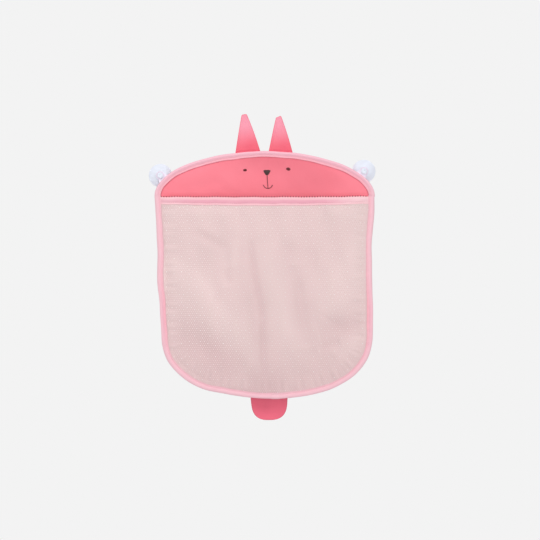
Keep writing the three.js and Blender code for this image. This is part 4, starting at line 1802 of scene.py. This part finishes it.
@dataclass
class Head:
    """The coral face panel, its lining and the seam between them and the back net.

    Attributes:
        bag: The bag.
        wardrobe: The finishes.
        columns: Points across a sheet.
        rows: Points up a sheet.
        hem: How high the roll at its lower edge reaches.
        flap: How far the panel hangs behind the mouth.
        reach: Half a sheet's width.
        flat_width: The width that each is cut to.
        thickness: A sheet's thickness.
        row_reach: Half the length of a row of stitches.
        stitch_pitch: From stitch to stitch.
        stitch_length: How long a stitch is.
        thread: The sewing thread.
        folds: The panel's soft hollows and ridges.
    """

    bag: Bag
    wardrobe: Wardrobe
    columns: int = 260
    rows: int = 64
    hem: float = 0.0016
    flap: float = 0.008
    reach: float = 0.1815
    flat_width: float = 0.366
    thickness: float = 0.0005
    row_reach: float = 0.174
    stitch_pitch: float = 0.0033
    stitch_length: float = 0.0025
    thread: Thread = Thread(0.00027, 0.0002)
    folds: tuple[Fold, ...] = (
        Fold((-0.165, -0.012), (-0.070, 0.012), 0.012, 0.0009),
        Fold((-0.150, -0.030), (-0.060, -0.012), 0.010, -0.0008),
        Fold((-0.110, 0.018), (-0.045, -0.030), 0.010, 0.0008),
        Fold((0.165, -0.006), (0.080, 0.014), 0.012, 0.0008),
        Fold((0.150, -0.028), (0.070, -0.016), 0.011, -0.0008),
        Fold((0.030, 0.030), (0.075, -0.030), 0.014, 0.0006),
        Fold((-0.012, 0.032), (-0.020, -0.020), 0.010, -0.0005),
    )

    @cached_property
    def relief(self) -> Relief:
        """The panel's soft hollows and the puckers at its seam."""
        return self.bag.relief(self._height)

    def _height(self, x: Array, z: Array, inside: Array, along: Array) -> Array:
        """The panel's height from its folds and the gathers at its seam.

        Args:
            x: The places across.
            z: Their heights.
            inside: Their distances inside the edge.
            along: Their distances along it.

        Returns:
            The height at each.
        """
        mouth_z = self.bag.shape.mouth_z
        soft = sum(fold.at(x, z) for fold in self.folds)
        soft = soft + ripples(x + 0.8 * z, (0.039, 0.00018, 0.4))
        soft = soft + ripples(x - 0.6 * z, (0.057, 0.0002, 2.1))
        free = rise(inside, 0.0095, 0.020) * rise(z, mouth_z - 0.002, mouth_z + 0.012)
        seam = rise(inside, 0.0085, 0.0125) * (1 - rise(inside, 0.013, 0.027))
        waves = (0.0093, 0.00016, 0.5), (0.0157, 0.00020, 1.7), (0.0251, 0.00018, 3.6)
        return free * soft * 1.3 + seam * ripples(along, *waves)

    def shade(self, x: Array, z: Array) -> Array:
        """How much shade lies on the cloth: under the tape, on brow and cheek, and at the mouth.

        Args:
            x: The places across.
            z: Their heights.

        Returns:
            From 0 to 1 at each.
        """
        inside, _ = self.bag.edge.near(x, z)
        under = 0.75 * (1 - rise(inside, 0.0106, 0.0136))
        brow = 0.42 * hump(x, 0.020, 0.085) * hump(z, 0.030, 0.026)
        cheek = 0.22 * hump(x, 0.080, 0.048) * hump(z, -0.012, 0.026)
        mouth_z = self.bag.shape.mouth_z
        mouth = 0.16 * (1 - rise(z, mouth_z, mouth_z + 0.009))
        return np.maximum(under, brow + cheek + mouth)

    def sheet(self, facing: Facing, foot: float, level: float) -> Form:
        """A sheet of cloth over the dome.

        Args:
            facing: Which way its outer face looks.
            foot: The height of its lower edge.
            level: The y of its outer face where it is flat.

        Returns:
            The sheet, its lower edge turned up.
        """
        edge, shape = self.bag.edge, self.bag.shape
        rim = edge.inset(0.0030)
        dome = rim[(rim[:, 1] > shape.mouth_z) & (edge.points[:, 1] > shape.mouth_z)]
        dome = dome[np.argsort(dome[:, 0])]
        x = self.reach * np.sin(np.linspace(-np.pi / 2, np.pi / 2, self.columns))
        top = np.interp(x, dome[:, 0], dome[:, 1])
        lift = rise(np.abs(x), self.reach - 0.016, self.reach) * (shape.mouth_z - foot + 0.0005)
        base = np.minimum(foot + np.maximum(lift, 0), top - 0.0008)
        share = np.linspace(0, 1, self.rows)
        z = base[:, None] + share[None] * (top - base)[:, None]
        xs = np.broadcast_to(x[:, None], z.shape)
        relief = self.relief.height(xs, z)
        roll = hump(z, base[:, None], self.hem) * 0.0003
        outer = level + facing.value * roll - relief
        inner = level - facing.value * self.thickness - relief
        front = np.stack([xs, outer, z], axis=-1)
        back = np.stack([xs, inner, z], axis=-1)[:, ::-1]
        rings = np.concatenate([front, back], axis=1)
        across, up = rings[..., 0], rings[..., 2]
        lay = np.stack([across, up, self.shade(across, up)], axis=-1)
        return loft(rings, lay, closed=False)

    def row(self, height: float, y: float, facing: Facing) -> Form:
        """A row of stitches across the bag.

        Args:
            height: Its z.
            y: Its level.
            facing: Which way it stands proud.

        Returns:
            The stitches.
        """
        x = np.arange(-self.row_reach, self.row_reach, self.stitch_pitch)
        starts = np.stack([x, np.full(x.shape, y), np.full(x.shape, height)], axis=-1)
        return self.thread.stitches(starts, starts + [self.stitch_length, 0, 0], facing.out)

    def build(self) -> None:
        """Makes the panel, its lining and their seam."""
        shape = self.bag.shape
        front, back = shape.front_y - shape.cloth, shape.rear_y + shape.cloth
        flap_z = shape.mouth_z - self.flap
        for name, node, facing, foot, level, height, share in (
            ("face_cloth", "face_panel", Facing.FRONT, flap_z, front, 0.086, 0.82),
            ("lining_cloth", "face_lining", Facing.BACK, shape.mouth_z - 0.0005, back, 0.078, 0.79),
        ):
            piece = self.sheet(facing, foot, level).piece(name, self.wardrobe.coral, Slot.CORAL)
            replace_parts(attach(piece, Body.BAG.value), node)
            flat, area = (self.flat_width, height), share * self.flat_width * height
        rows = [self.row(shape.mouth_z + up, back + 0.0001, Facing.BACK) for up in (0.0016, 0.0046)]
        rows.append(self.row(flap_z + 0.0022, front - 0.0001, Facing.FRONT))
        seam = Form.joined(rows).piece("lap_seam", self.wardrobe.pale_thread, Slot.BINDING)
        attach(seam, Body.BAG.value)


@dataclass
class Face:
    """The stitched eyes, nose and mouth.

    Attributes:
        bag: The bag.
        head: The cloth that they are sewn on.
        wardrobe: The finishes.
    """

    bag: Bag
    head: Head
    wardrobe: Wardrobe

    def on_cloth(self, x: Array, z: Array, lift: float = 0.0001) -> Array:
        """Places on the panel's front face, a little proud of it.

        Args:
            x: The places across.
            z: Their heights.
            lift: How far they stand off it.

        Returns:
            The places.
        """
        level = self.bag.shape.front_y - self.bag.shape.cloth
        y = level - self.head.relief.height(x, z) - lift
        return np.stack([x, y, z], axis=-1)

    def satin(self, low: Array, high: Array, thread: Thread) -> Form:
        """Satin stitches side by side.

        Args:
            low: One end of each as (x, z).
            high: The other end of each.
            thread: Their thread.

        Returns:
            The stitches.
        """
        ends = [self.on_cloth(side[:, 0], side[:, 1]) for side in (low, high)]
        return thread.stitches(*ends, Facing.FRONT.out)

    def oval(self, centre: tuple[float, float], width: float, height: float, tilt: float) -> Form:
        """An eye: upright satin stitches that fill an oval.

        Args:
            centre: Its middle as (x, z).
            width: Its width.
            height: Its height.
            tilt: How far it is turned, in degrees.

        Returns:
            The stitches.
        """
        share = np.linspace(-0.92, 0.92, 13)
        u = share * width / 2
        v = height / 2 * np.sqrt(1 - share**2)
        turn = math.radians(tilt)
        ends = []
        for sign in (-1, 1):
            x = centre[0] + u * math.cos(turn) - sign * v * math.sin(turn)
            z = centre[1] + u * math.sin(turn) + sign * v * math.cos(turn)
            ends.append(np.stack([x, z], axis=-1))
        return self.satin(*ends, Thread(0.00034, 0.00042, 6, 7))

    def snout(self) -> Form:
        """The nose: upright satin stitches that fill a rounded triangle on its point."""
        centre, top, width, height = 0.0040, 0.0066, 0.0124, 0.0094
        share = np.linspace(-0.96, 0.96, 24)
        u = share * width / 2
        shoulder = 0.0016 * np.abs(share) ** 5
        foot = height * (1 - share**2) ** 0.65
        high = np.stack([centre + u, top - shoulder], axis=-1)
        low = np.stack([centre + u * 0.94, top - np.maximum(foot, 0.0024)], axis=-1)
        return self.satin(low, high, Thread(0.00038, 0.0006, 6, 7))

    def line(self, path: Array, pitch: float) -> Form:
        """Back stitches along a path.

        Args:
            path: The path as (x, z).
            pitch: The length of a stitch.

        Returns:
            The stitches.
        """
        steps = np.linalg.norm(np.diff(path, axis=0), axis=1)
        run = np.concatenate([[0], np.cumsum(steps)])
        count = max(2, round(run[-1] / pitch))
        stops = np.linspace(0, run[-1], count + 1)
        places = np.stack([np.interp(stops, run, path[:, k]) for k in (0, 1)], axis=-1)
        onward = unit(np.diff(places, axis=0)) * 0.0003
        return self.satin(places[:-1] - onward, places[1:] + onward, Thread(0.00074, 0.0002, 6, 7))

    def smile(self) -> Form:
        """The stem and the smile below the nose."""
        share = np.linspace(0, 1, 24)
        stem = np.stack([0.0044 + 0.0015 * share**1.4, -0.0030 - 0.0222 * share], axis=-1)
        side = np.linspace(-1, 1, 41)
        bow = np.stack([0.0057 + 0.0082 * side, -0.0256 + 0.0062 * np.abs(side) ** 2.5], axis=-1)
        return Form.joined([self.line(stem, 0.0032), self.line(bow, 0.0030)])

    def build(self) -> None:
        """Makes the four features."""
        dress = self.wardrobe
        left = self.oval((-0.0338, 0.0062), 0.0062, 0.0046, 4)
        right = self.oval((0.0408, 0.0080), 0.0074, 0.0056, -12)
        for form, name, node, material in (
            (left, "left_eye", "eye_left", dress.wine_thread),
            (right, "right_eye", "eye_right", dress.wine_thread),
            (self.snout(), "stitched_nose", "nose", dress.brown_thread),
            (self.smile(), "stitched_mouth", "mouth", dress.line_thread),
        ):
            piece = form.piece(name, material, Slot.THREAD)
            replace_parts(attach(piece, Body.BAG.value), node)


# Flaps on the bound edge


@dataclass(frozen=True)
class Seam:
    """A place on the bound edge, and its directions.

    Attributes:
        point: The place as (x, z).
        out: The direction out of the bag.
        along: The direction along the edge, clockwise.
    """

    point: Array
    out: Array
    along: Array

    def at(self, u: Array, v: Array) -> Array:
        """Places so far along the edge and so far out, as (x, z)."""
        return self.point + self.along * u[..., None] + self.out * v[..., None]

    def out_by(self, distance: float) -> tuple[float, float, float]:
        """The point in the middle of the sheets that lies so far out of the seam."""
        x, z = self.point + self.out * distance
        return float(x), BagShape.middle_y, float(z)


def seam_at(shape: BagShape, x: float, on_dome: bool) -> Seam:
    """The seam at a place on the dome or the bottom.

    Args:
        shape: The bag's shape.
        x: The place across.
        on_dome: Whether it is on the dome.

    Returns:
        The seam.
    """
    half, drop, middle, level, sign = shape.width / 2, shape.dome_rise, 0.0, shape.mouth_z, 1
    if not on_dome:
        half, drop = shape.bottom_width / 2, shape.bottom_drop
        middle, level, sign = shape.lean, shape.low_z, -1
    angle = sign * math.acos((x - middle) / half)
    out = unit(np.array([math.cos(angle) / half, math.sin(angle) / drop]))
    point = np.array([x, level + drop * math.sin(angle)])
    return Seam(point, out, np.array([out[1], -out[0]]))


@dataclass
class Flap:
    """A double cloth flap whose edges are turned in.

    Attributes:
        name: The piece's name.
        nodes: The solids that it stands for.
        body: The body that it stands for. It is not used.
        material: Its material.
        slot: The record's slot.
        seam: Where it is sewn on.
        tuck: How far its base lies inside the binding.
        ply: Half its thickness where it is flat.
        across: How many points each row has.
        shade_spot: Where the painted shade on its front is deepest, as (u, v, reach, depth).
    """

    name: str
    nodes: tuple[str, ...]
    body: Body
    material: bpy.types.Material
    slot: Slot
    seam: Seam
    tuck: float = 0.0016
    ply: float = 0.00105
    across: int = 61
    shade_spot: tuple[float, float, float, float] = (0.008, 0.010, 0.012, 0.4)

    def thickness(self, gap: Array, height: Array) -> Array:
        """Half the thickness of the flap.

        Args:
            gap: The distance to the nearest free edge.
            height: The distance from the seam.

        Returns:
            Half the thickness there.
        """
        turned = rounding(gap, 0.0011)
        ridge = 0.00028 * hump(gap, 0.0024, 0.0013)
        hollow = -0.00012 * hump(gap, 0.0052, 0.0014)
        puff = 0.00085 * rise(gap, 0.004, 0.016) * rise(height, 0.001, 0.012)
        return (self.ply * turned + ridge * turned + hollow + puff).clip(0.00002)

    def surface(
        self,
        left: Array,
        right: Array,
        height: Array,
        gap_ends: Array,
        bow: Array,
        crumple: Array,
    ) -> Form:
        """Lofts the flap from its rows.

        Args:
            left: Each row's left end as (u, v) on the seam's axes.
            right: Each row's right end.
            height: Each row's distance from the seam.
            gap_ends: Each row's distance from the free end.
            bow: How far each point of each row stands back.
            crumple: How much each point's front face is raised.

        Returns:
            The flap.
        """
        share = (1 - np.cos(np.linspace(0, np.pi, self.across))) / 2
        uv = left[:, None] * (1 - share[:, None]) + right[:, None] * share[:, None]
        x, z = np.moveaxis(self.seam.at(uv[..., 0], uv[..., 1]), -1, 0)
        width = np.linalg.norm(right - left, axis=-1)[:, None]
        gap = np.minimum(np.minimum(share, 1 - share) * width * 0.97, gap_ends[:, None])
        up = height[:, None]
        half = self.thickness(gap, up)
        middle = BagShape.middle_y + bow
        front = np.stack([x, middle - half - crumple, z], axis=-1)
        back = np.stack([x, middle + half - 0.7 * crumple, z], axis=-1)
        # The third cloth measure is painted shade: along the turned edges, at the seam and in a
        # spot on the front.
        rim = 0.6 * (1 - rise(gap, 0.0002, 0.0020))
        foot = 0.7 * np.exp(-np.maximum(up, 0) / 0.0025)
        u, v, reach, depth = self.shade_spot
        shade_spot = depth * np.exp(-((uv[..., 0] - u) ** 2 + (up - v) ** 2) / reach**2)
        lay = measures(x.shape, uv[..., 0], up, rim + foot + shade_spot)
        return loft(folded(front, back), folded(lay, lay), closed=False)

    def dress(self, form: Form) -> None:
        """Makes the piece.

        Args:
            form: The flap.
        """
        piece = form.piece(self.name, self.material, self.slot)
        ends = [self.seam.out_by(distance) for distance in (0.0, 0.006)]
        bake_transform(piece)
        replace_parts(piece, *self.nodes)


@dataclass
class Ears:
    """The two ears.

    Attributes:
        shape: The bag's outline.
        wardrobe: The finishes.
        tip: The width of an ear's tip.
        bows: How far the left and the right side swell out.
    """

    shape: BagShape
    wardrobe: Wardrobe
    tip: float = 0.0088
    bows: tuple[float, float] = (0.0002, 0.0010)

    def ear(
        self, body: Body, x: float, base: float, height: float, shift: float, tilt: float
    ) -> None:
        """Makes one ear.

        Args:
            body: The body whose name it takes.
            x: Where it is sewn on.
            base: Its width there.
            height: Its height.
            shift: How far its tip stands to one side.
            tilt: How far its tip's right end stands above the middle.
        """
        name = body.value
        nodes = (f"{name}_front", f"{name}_back")
        seam = seam_at(self.shape, x, on_dome=True)
        flap = Flap(f"{name}_cloth", nodes, body, self.wardrobe.ear, Slot.CORAL, seam)
        tip = height * (1 - 0.08 * (1 - np.sin(np.linspace(0.06, np.pi / 2, 16))))
        v = np.concatenate([np.linspace(-flap.tuck, 0.92 * height, 84), tip])
        share = np.clip(v / height, 0, 1)
        closing = np.clip(1 - np.clip((share - 0.955) / 0.045, 0, 1) ** 2.6, 0, 1) ** (1 / 2.6)
        half = (base * (1 - share) + self.tip * share) / 2
        half = half * (0.55 + 0.45 * closing)
        middle = shift * share
        slant = tilt * share**6
        left = np.stack([middle - half - self.bows[0] * np.sin(np.pi * share), v - slant], axis=-1)
        right = np.stack([middle + half + self.bows[1] * np.sin(np.pi * share), v + slant], axis=-1)
        u = np.linspace(-1, 1, flap.across)[None]
        lean = -0.0034 * np.sin(np.pi * share**0.8) + 0.0006 * share
        cup = 0.0009 * (1 - u**2) * np.sin(np.pi * share)[:, None]
        bow = lean[:, None] + cup
        up, part = v[:, None], share[:, None]
        pleats = ripples(u + x * 40, (0.47, 0.00025, 0.3), (0.81, 0.0003, 2.0))
        fold = 0.0006 * hump(up, 0.0034, 0.0016) * (1 - u**2)
        crumple = pleats * np.exp(-up / 0.012) + fold
        crumple = crumple * rise(up, -0.001, 0.002) * (1 - np.abs(u) ** 6)
        crumple = crumple + 0.0003 * np.sin(5 * u + 14 * part) * (1 - u**4) * part
        gap = np.maximum(height - v, 0) + 0.00001
        flap.dress(flap.surface(left, right, v, gap, bow, crumple))

    def build(self) -> None:
        """Makes both ears."""
        self.ear(Body.EAR_LEFT, -0.0290, 0.0428, 0.0648, -0.0022, 0.0003)
        self.ear(Body.EAR_RIGHT, 0.0278, 0.0412, 0.0602, -0.0072, 0.0013)


@dataclass
class Tail:
    """The tail tab.

    Attributes:
        shape: The bag's outline.
        wardrobe: The finishes.
        width: Its width at the seam.
        drop: How far it hangs.
        x: Where it is sewn on.
    """

    shape: BagShape
    wardrobe: Wardrobe
    width: float = 0.0636
    drop: float = 0.0364
    x: float = 0.0078

    def build(self) -> None:
        """Makes the tail."""
        seam = seam_at(self.shape, self.x, on_dome=False)
        nodes = ("tail_front", "tail_back")
        flap = Flap("tail_cloth_tab", nodes, Body.TAIL, self.wardrobe.tail, Slot.TAIL, seam, 0.0030)
        turn = np.linspace(0.012, np.pi / 2, 74)
        inside = np.linspace(-flap.tuck, 0.0, 8, endpoint=False)
        v = np.concatenate([inside, self.drop * np.sin(turn) ** 0.86])[::-1]
        share = np.clip(v / self.drop, 0, 1)
        half = self.width / 2 * (1 - 0.16 * share) * np.maximum(1 - share**4.2, 0) ** (1 / 2.7)
        half = np.where(v < 0, self.width / 2, half) + 0.00002
        left = np.stack([-half - 0.0010 * np.sin(np.pi * share), v], axis=-1)
        right = np.stack([half + 0.0006 * np.sin(np.pi * share), v], axis=-1)
        u = np.linspace(-1, 1, flap.across)[None]
        bowl = 0.0030 * np.sin(np.pi * share**0.9)[:, None] * (1 - 0.8 * u**2)
        rim = -0.0016 * (share**3)[:, None]
        bow = bowl + rim
        up, part = v[:, None], share[:, None]
        pleats = ripples(u, (0.36, 0.00030, 0.9), (0.59, 0.00030, 2.6))
        pleats = pleats * np.exp(-np.maximum(up, 0) / 0.010)
        crumple = pleats * (1 - np.abs(u) ** 6) * rise(up, -0.001, 0.002)
        crumple = crumple + 0.0004 * np.sin(4.2 * u + 7 * part) * (1 - u**4) * part
        flap.dress(flap.surface(left, right, v, (self.drop - v) * 0.9 + 0.00001, bow, crumple))


# Hanging tabs and suction cups


@dataclass
class HangingTab:
    """A doubled ribbon with a stitched eye for the cup's neck.

    Attributes:
        side: "left" or "right".
        angle: Its place on the dome, in degrees from the right springing.
        shape: The bag's outline.
        wardrobe: The finishes.
        base: Its width at the seam.
        reach: From the seam to the eye's middle.
        end_radius: The radius of its round end.
        eye: The radius of its eye.
        tuck: How far its base lies inside the binding.
        half: Half its thickness.
    """

    side: str
    angle: float
    shape: BagShape
    wardrobe: Wardrobe
    base: float = 0.022
    reach: float = 0.0078
    end_radius: float = 0.0074
    eye: float = 0.0036
    tuck: float = 0.0030
    half: float = 0.0008

    @cached_property
    def seam(self) -> Seam:
        """Where it is sewn on."""
        return seam_at(self.shape, self.shape.width / 2 * math.cos(math.radians(self.angle)), True)

    def contour(self) -> Array:
        """The outer edge as (u, v) from the neck's middle."""
        over = math.asin(self.end_radius / math.hypot(self.base / 2, self.reach)) / 2
        turn = np.linspace(-over, math.pi + over, 72)
        arc = self.end_radius * np.stack([np.cos(turn), np.sin(turn)], axis=-1)
        foot = -self.reach - self.tuck
        corners = np.array([[-self.base / 2, foot], [self.base / 2, foot]])
        share = np.linspace(0, 1, 18, endpoint=False)[:, None]
        down = arc[-1] * (1 - share) + corners[0] * share
        below = corners[0] * (1 - share) + corners[1] * share
        up = corners[1] * (1 - share) + arc[0] * share
        return np.concatenate([arc, down[1:], below, up])

    def ribbon(self) -> Form:
        """The ribbon with its eye."""
        outer = self.contour()
        inner = unit(outer) * self.eye
        between = (1 - np.cos(np.linspace(0.05, np.pi - 0.05, 26))) / 2
        share = np.concatenate([[0.0], between, [1.0]])
        uv = inner[:, None] * (1 - share[:, None]) + outer[:, None] * share[:, None]
        gap_in = np.linalg.norm(uv - inner[:, None], axis=-1)
        gap_out = np.linalg.norm(uv - outer[:, None], axis=-1)
        edge = np.minimum(gap_in, gap_out)
        plump = self.half * rounding(edge, 0.0005)
        plump = plump + 0.00022 * hump(gap_out, 0.0011, 0.0005)
        plump = plump - 0.00015 * hump(gap_out, 0.0019, 0.0005)
        x, z = np.moveaxis(self.seam.at(uv[..., 0], uv[..., 1] + self.reach), -1, 0)
        wave = 0.00018 * np.sin(uv[..., 0] * 700) * rise(edge, 0.0005, 0.002)
        levels = [self.shape.middle_y + facing.value * plump + wave for facing in Facing]
        front, back = (np.stack([x, y, z], axis=-1) for y in levels)
        lay = np.stack([uv[..., 0], uv[..., 1], edge], axis=-1)
        return loft(folded(front, back), folded(lay, lay), closed=True)

    def eyelet(self) -> Form:
        """The buttonhole stitches round the eye, on both faces."""
        turn = np.linspace(0, 2 * np.pi, 30, endpoint=False)
        rim = np.stack([np.cos(turn), np.sin(turn)], axis=-1)
        forms = []
        for facing in Facing:
            ends = []
            for radius in (self.eye + 0.0001, self.eye + 0.0013):
                place = self.seam.at(rim[:, 0] * radius, rim[:, 1] * radius + self.reach)
                y = np.full(len(place), self.shape.middle_y + facing.value * (self.half + 0.00006))
                ends.append(np.stack([place[:, 0], y, place[:, 1]], axis=-1))
            forms.append(Thread(0.00033, 0.00016).stitches(*ends, facing.out))
        return Form.joined(forms)

    def build(self) -> None:
        """Makes the tab and its eye."""
        body = Body[f"TAB_{self.side.upper()}"].value
        ribbon = self.ribbon().piece(f"ribbon_{self.side}", self.wardrobe.ribbon, Slot.RIBBON)
        ends = [self.seam.out_by(distance) for distance in (-0.0002, 0.0028)]
        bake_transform(ribbon)
        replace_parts(ribbon, f"hanging_tab_{self.side}")
        eyelet = self.eyelet().piece(f"eyelet_{self.side}", self.wardrobe.ribbon, Slot.RIBBON)
        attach(eyelet, body)


@dataclass
class SuctionCup:
    """A moulded cup: bell, collar, neck and mushroom knob.

    Attributes:
        side: "left" or "right".
        wardrobe: The finishes.
        radius: Its radius at the lip.
        lip: The lip's width.
        bell: The bell's height.
        hollow: The hollow's depth.
        collar: The collar's radius.
        collar_height: The collar's height.
        neck: The neck's radius.
        neck_length: The neck's length.
        knob: The knob's radius.
        knob_height: The knob's height.
        knob_round: The rounding of the knob's top edge.
        knob_under: The rounding of its lower edge.
        dimple: The radius of the dimple in its top.
        dimple_depth: The dimple's depth.
        segments: Points round it.
    """

    side: str
    wardrobe: Wardrobe
    radius: float = 0.020
    lip: float = 0.0016
    bell: float = 0.0085
    hollow: float = 0.006
    collar: float = 0.006
    collar_height: float = 0.0015
    neck: float = 0.0032
    neck_length: float = 0.0038
    knob: float = 0.0052
    knob_height: float = 0.004
    knob_round: float = 0.0014
    knob_under: float = 0.0006
    dimple: float = 0.0019
    dimple_depth: float = 0.0012
    segments: int = 112

    def profile(self) -> Array:
        """Half the section, from the knob's dimple round to the hollow, as (radius, depth)."""
        foot = self.bell + self.collar_height
        under = foot + self.neck_length
        top = under + self.knob_height
        points = []
        for r in np.linspace(0, self.dimple, 8):
            dip = math.cos(math.pi / 2 * r / self.dimple) ** 1.5
            points.append((r, top - self.dimple_depth * dip))
        points += [(0.0024, top), (0.0031, top)]
        for turn in np.linspace(0, math.pi / 2, 8):
            inward, down = 1 - math.sin(turn), 1 - math.cos(turn)
            points.append((self.knob - self.knob_round * inward, top - self.knob_round * down))
        for turn in np.linspace(0, math.pi / 2, 6):
            inward, up = 1 - math.cos(turn), 1 - math.sin(turn)
            points.append((self.knob - self.knob_under * inward, under + self.knob_under * up))
        points += [(self.neck + 0.0008, under), (self.neck + 0.0002, under - 0.0003)]
        points += [(self.neck, under - 0.0009), (self.neck, foot + 0.0009)]
        points += [(self.neck + 0.0002, foot + 0.0003), (self.neck + 0.0008, foot)]
        points += [(self.collar - 0.0005, foot), (self.collar - 0.0001, foot - 0.0003)]
        points += [(self.collar, foot - 0.0008)]
        for share in np.linspace(0, 1, 40):
            r = self.collar + (self.radius - self.collar) * share
            depth = self.bell + (0.0009 - self.bell) * share**1.6
            step = 0.00022 * (math.tanh((r - 0.0105) / 0.0002) - math.tanh((r - 0.0165) / 0.0002))
            points.append((r, depth + step * (1 - share)))
        points += [(self.radius + 0.0001, 0.0006), (self.radius, 0.00025)]
        points += [(self.radius - 0.0003, 0.0), (self.radius - self.lip * 0.6, 0.0)]
        for share in np.linspace(1, 0, 26):
            points.append(((self.radius - self.lip) * share, self.hollow * (1 - share**2)))
        return np.array(points)

    def body(self) -> Form:
        """The cup, turned about its axis where the frame has it."""
        low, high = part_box(f"suction_cup_{self.side}")
        centre = (Vector(low) + Vector(high)) / 2
        profile = self.profile()
        turn = np.linspace(0, 2 * np.pi, self.segments, endpoint=False)
        x = centre.x + profile[None, :, 0] * np.cos(turn)[:, None]
        z = centre.z + profile[None, :, 0] * np.sin(turn)[:, None]
        y = np.broadcast_to(high.y - profile[None, :, 1], x.shape)
        rings = np.stack([x, y, z], axis=-1)
        lay = np.stack([np.broadcast_to(profile[None, :, 0], x.shape), y, x * 0], axis=-1)
        return loft(rings, lay, closed=True).welded().outward()

    def build(self) -> None:
        """Makes the cup."""
        piece = self.body().piece(f"cup_{self.side}_vinyl", self.wardrobe.vinyl, Slot.VINYL)
        body = Body[f"CUP_{self.side.upper()}"].value
        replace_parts(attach(piece, body), f"suction_cup_{self.side}")


# Studio


@dataclass
class Studio:
    """The camera, the soft light and the pale ground.

    Attributes:
        ground: The ground's colour.
        centre: The picture's middle, as (x, z).
        frame_width: The width that the picture shows.
        distance: From the camera to the bag.
        floor_z: The floor's height.
    """

    ground: Colour = field(default_factory=lambda: srgb(243, 243, 243))
    centre: tuple[float, float] = (0.0093, -0.1663)
    frame_width: float = 0.9326
    distance: float = 6.0
    floor_z: float = -0.80

    def camera(self) -> None:
        """A long lens straight in front of the bag."""
        data = bpy.data.cameras.new("camera")
        data.sensor_width = 36
        data.lens = 36 * self.distance / self.frame_width
        data.clip_end = 100
        made = bpy.data.objects.new("camera", data)
        made.location = (self.centre[0], -0.012 - self.distance, self.centre[1])
        made.rotation_euler = (math.pi / 2, 0, 0)
        bpy.context.scene.collection.objects.link(made)
        bpy.context.scene.camera = made

    def lamp(self, name: str, place: tuple[float, float, float], size: float, power: float) -> None:
        """A square soft lamp aimed at the bag.

        Args:
            name: Its name.
            place: Where it stands.
            size: Its width.
            power: Its power in watts.
        """
        data = bpy.data.lights.new(name, "AREA")
        data.shape, data.size, data.energy = "SQUARE", size, power
        made = bpy.data.objects.new(name, data)
        made.visible_camera = made.visible_transmission = False
        made.location = place
        aim = Vector((0, 0, -0.16)) - Vector(place)
        made.rotation_euler = aim.to_track_quat("-Z", "Y").to_euler()
        bpy.context.scene.collection.objects.link(made)

    def seen(self, shader: Shader) -> Value:
        """Tells the rays that show the ground from those that only light the bag.

        Args:
            shader: The world's nodes.

        Returns:
            1 for rays from the camera, a reflection or a clear piece, and 0 for light.
        """
        names = ("Is Camera Ray", "Is Glossy Ray", "Is Transmission Ray")
        camera, glossy, clear = (shader.node("ShaderNodeLightPath", output=n) for n in names)
        return (camera + glossy + clear).capped(1.0)

    def world(self, level: float) -> None:
        """Pale light from all round, with the ground's colour where it is seen.

        Args:
            level: The strength of its light.
        """
        shader = Shader("world", world=True)
        light = shader.node("ShaderNodeBackground", {}, {"Color": (1, 1, 1, 1), "Strength": level})
        ground = shader.node("ShaderNodeBackground", {}, {"Color": self.ground, "Strength": 1.0})
        both = shader.node("ShaderNodeMixShader", {}, {0: self.seen(shader), 1: light, 2: ground})
        shader.node_out(both, "ShaderNodeOutputWorld")
        bpy.context.scene.world = shader.owner

    def floor(self) -> None:
        """A pale floor that fades into the ground's colour away from the bag."""
        radius, rings, spokes = 1.9, 24, 64
        reach = radius * np.linspace(0, 1, rings + 1)[1:]
        turn = np.linspace(0, 2 * np.pi, spokes, endpoint=False)
        x, y = np.outer(reach, np.cos(turn)), np.outer(reach, np.sin(turn))
        points = np.stack([x, y, np.full(x.shape, self.floor_z)], axis=-1).reshape(-1, 3)
        points = np.vstack([[0, 0, self.floor_z], points])
        numbers = 1 + np.arange(rings * spokes).reshape(rings, spokes)
        near, far = numbers[:-1], numbers[1:]
        quads = np.stack([near, far, np.roll(far, -1, 1), np.roll(near, -1, 1)], axis=-1)
        hub = np.stack([np.zeros(spokes, int), numbers[0], np.roll(numbers[0], -1)], axis=-1)
        mesh = bpy.data.meshes.new("floor")
        mesh.from_pydata(points.tolist(), [], quads.reshape(-1, 4).tolist() + hub.tolist())
        made = bpy.data.objects.new("floor", mesh)
        bpy.context.scene.collection.objects.link(made)
        shader = Shader("floor")
        x, y, _ = shader.parts(shader.place())
        away = (x * x + y * y) ** 0.5
        solid = shader.node("ShaderNodeBsdfDiffuse", {}, {"Color": srgb(240, 240, 240)})
        clear = shader.node("ShaderNodeBsdfTransparent")
        share = away.step(0.7, 1.85)
        shader.node_out(shader.node("ShaderNodeMixShader", {}, {0: share, 1: solid, 2: clear}))
        mesh.materials.append(shader.owner)

    def build(self) -> None:
        """Sets the whole studio."""
        self.camera()
        self.lamp("key", (-0.9, -1.8, 1.2), 1.8, 25.5)
        self.lamp("fill", (1.7, -2.2, 0.3), 2.0, 17.5)
        self.lamp("back", (0.6, 2.4, 1.2), 1.6, 22)
        self.world(0.60)
        self.floor()
        bpy.context.scene.view_settings.view_transform = "Standard"


def main() -> None:
    """Builds the studio and every piece of the bag, in order."""
    logging.basicConfig(level=logging.INFO, format="%(message)s")
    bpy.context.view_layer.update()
    Studio().build()
    bag, dress = Bag(), Wardrobe()
    pocket = Pocket(bag)
    head = Head(bag, dress)
    EdgeBinding(bag, dress).build()
    head.build()
    Face(bag, head, dress).build()
    Nets(bag, pocket, dress).build()
    MouthTape(bag, pocket, dress).build()
    Ears(bag.shape, dress).build()
    Tail(bag.shape, dress).build()
    for side, angle in (("left", 157.0), ("right", 28.5)):
        HangingTab(side, angle, bag.shape, dress).build()
        SuctionCup(side, dress).build()


if __name__ == "__main__":
    main()
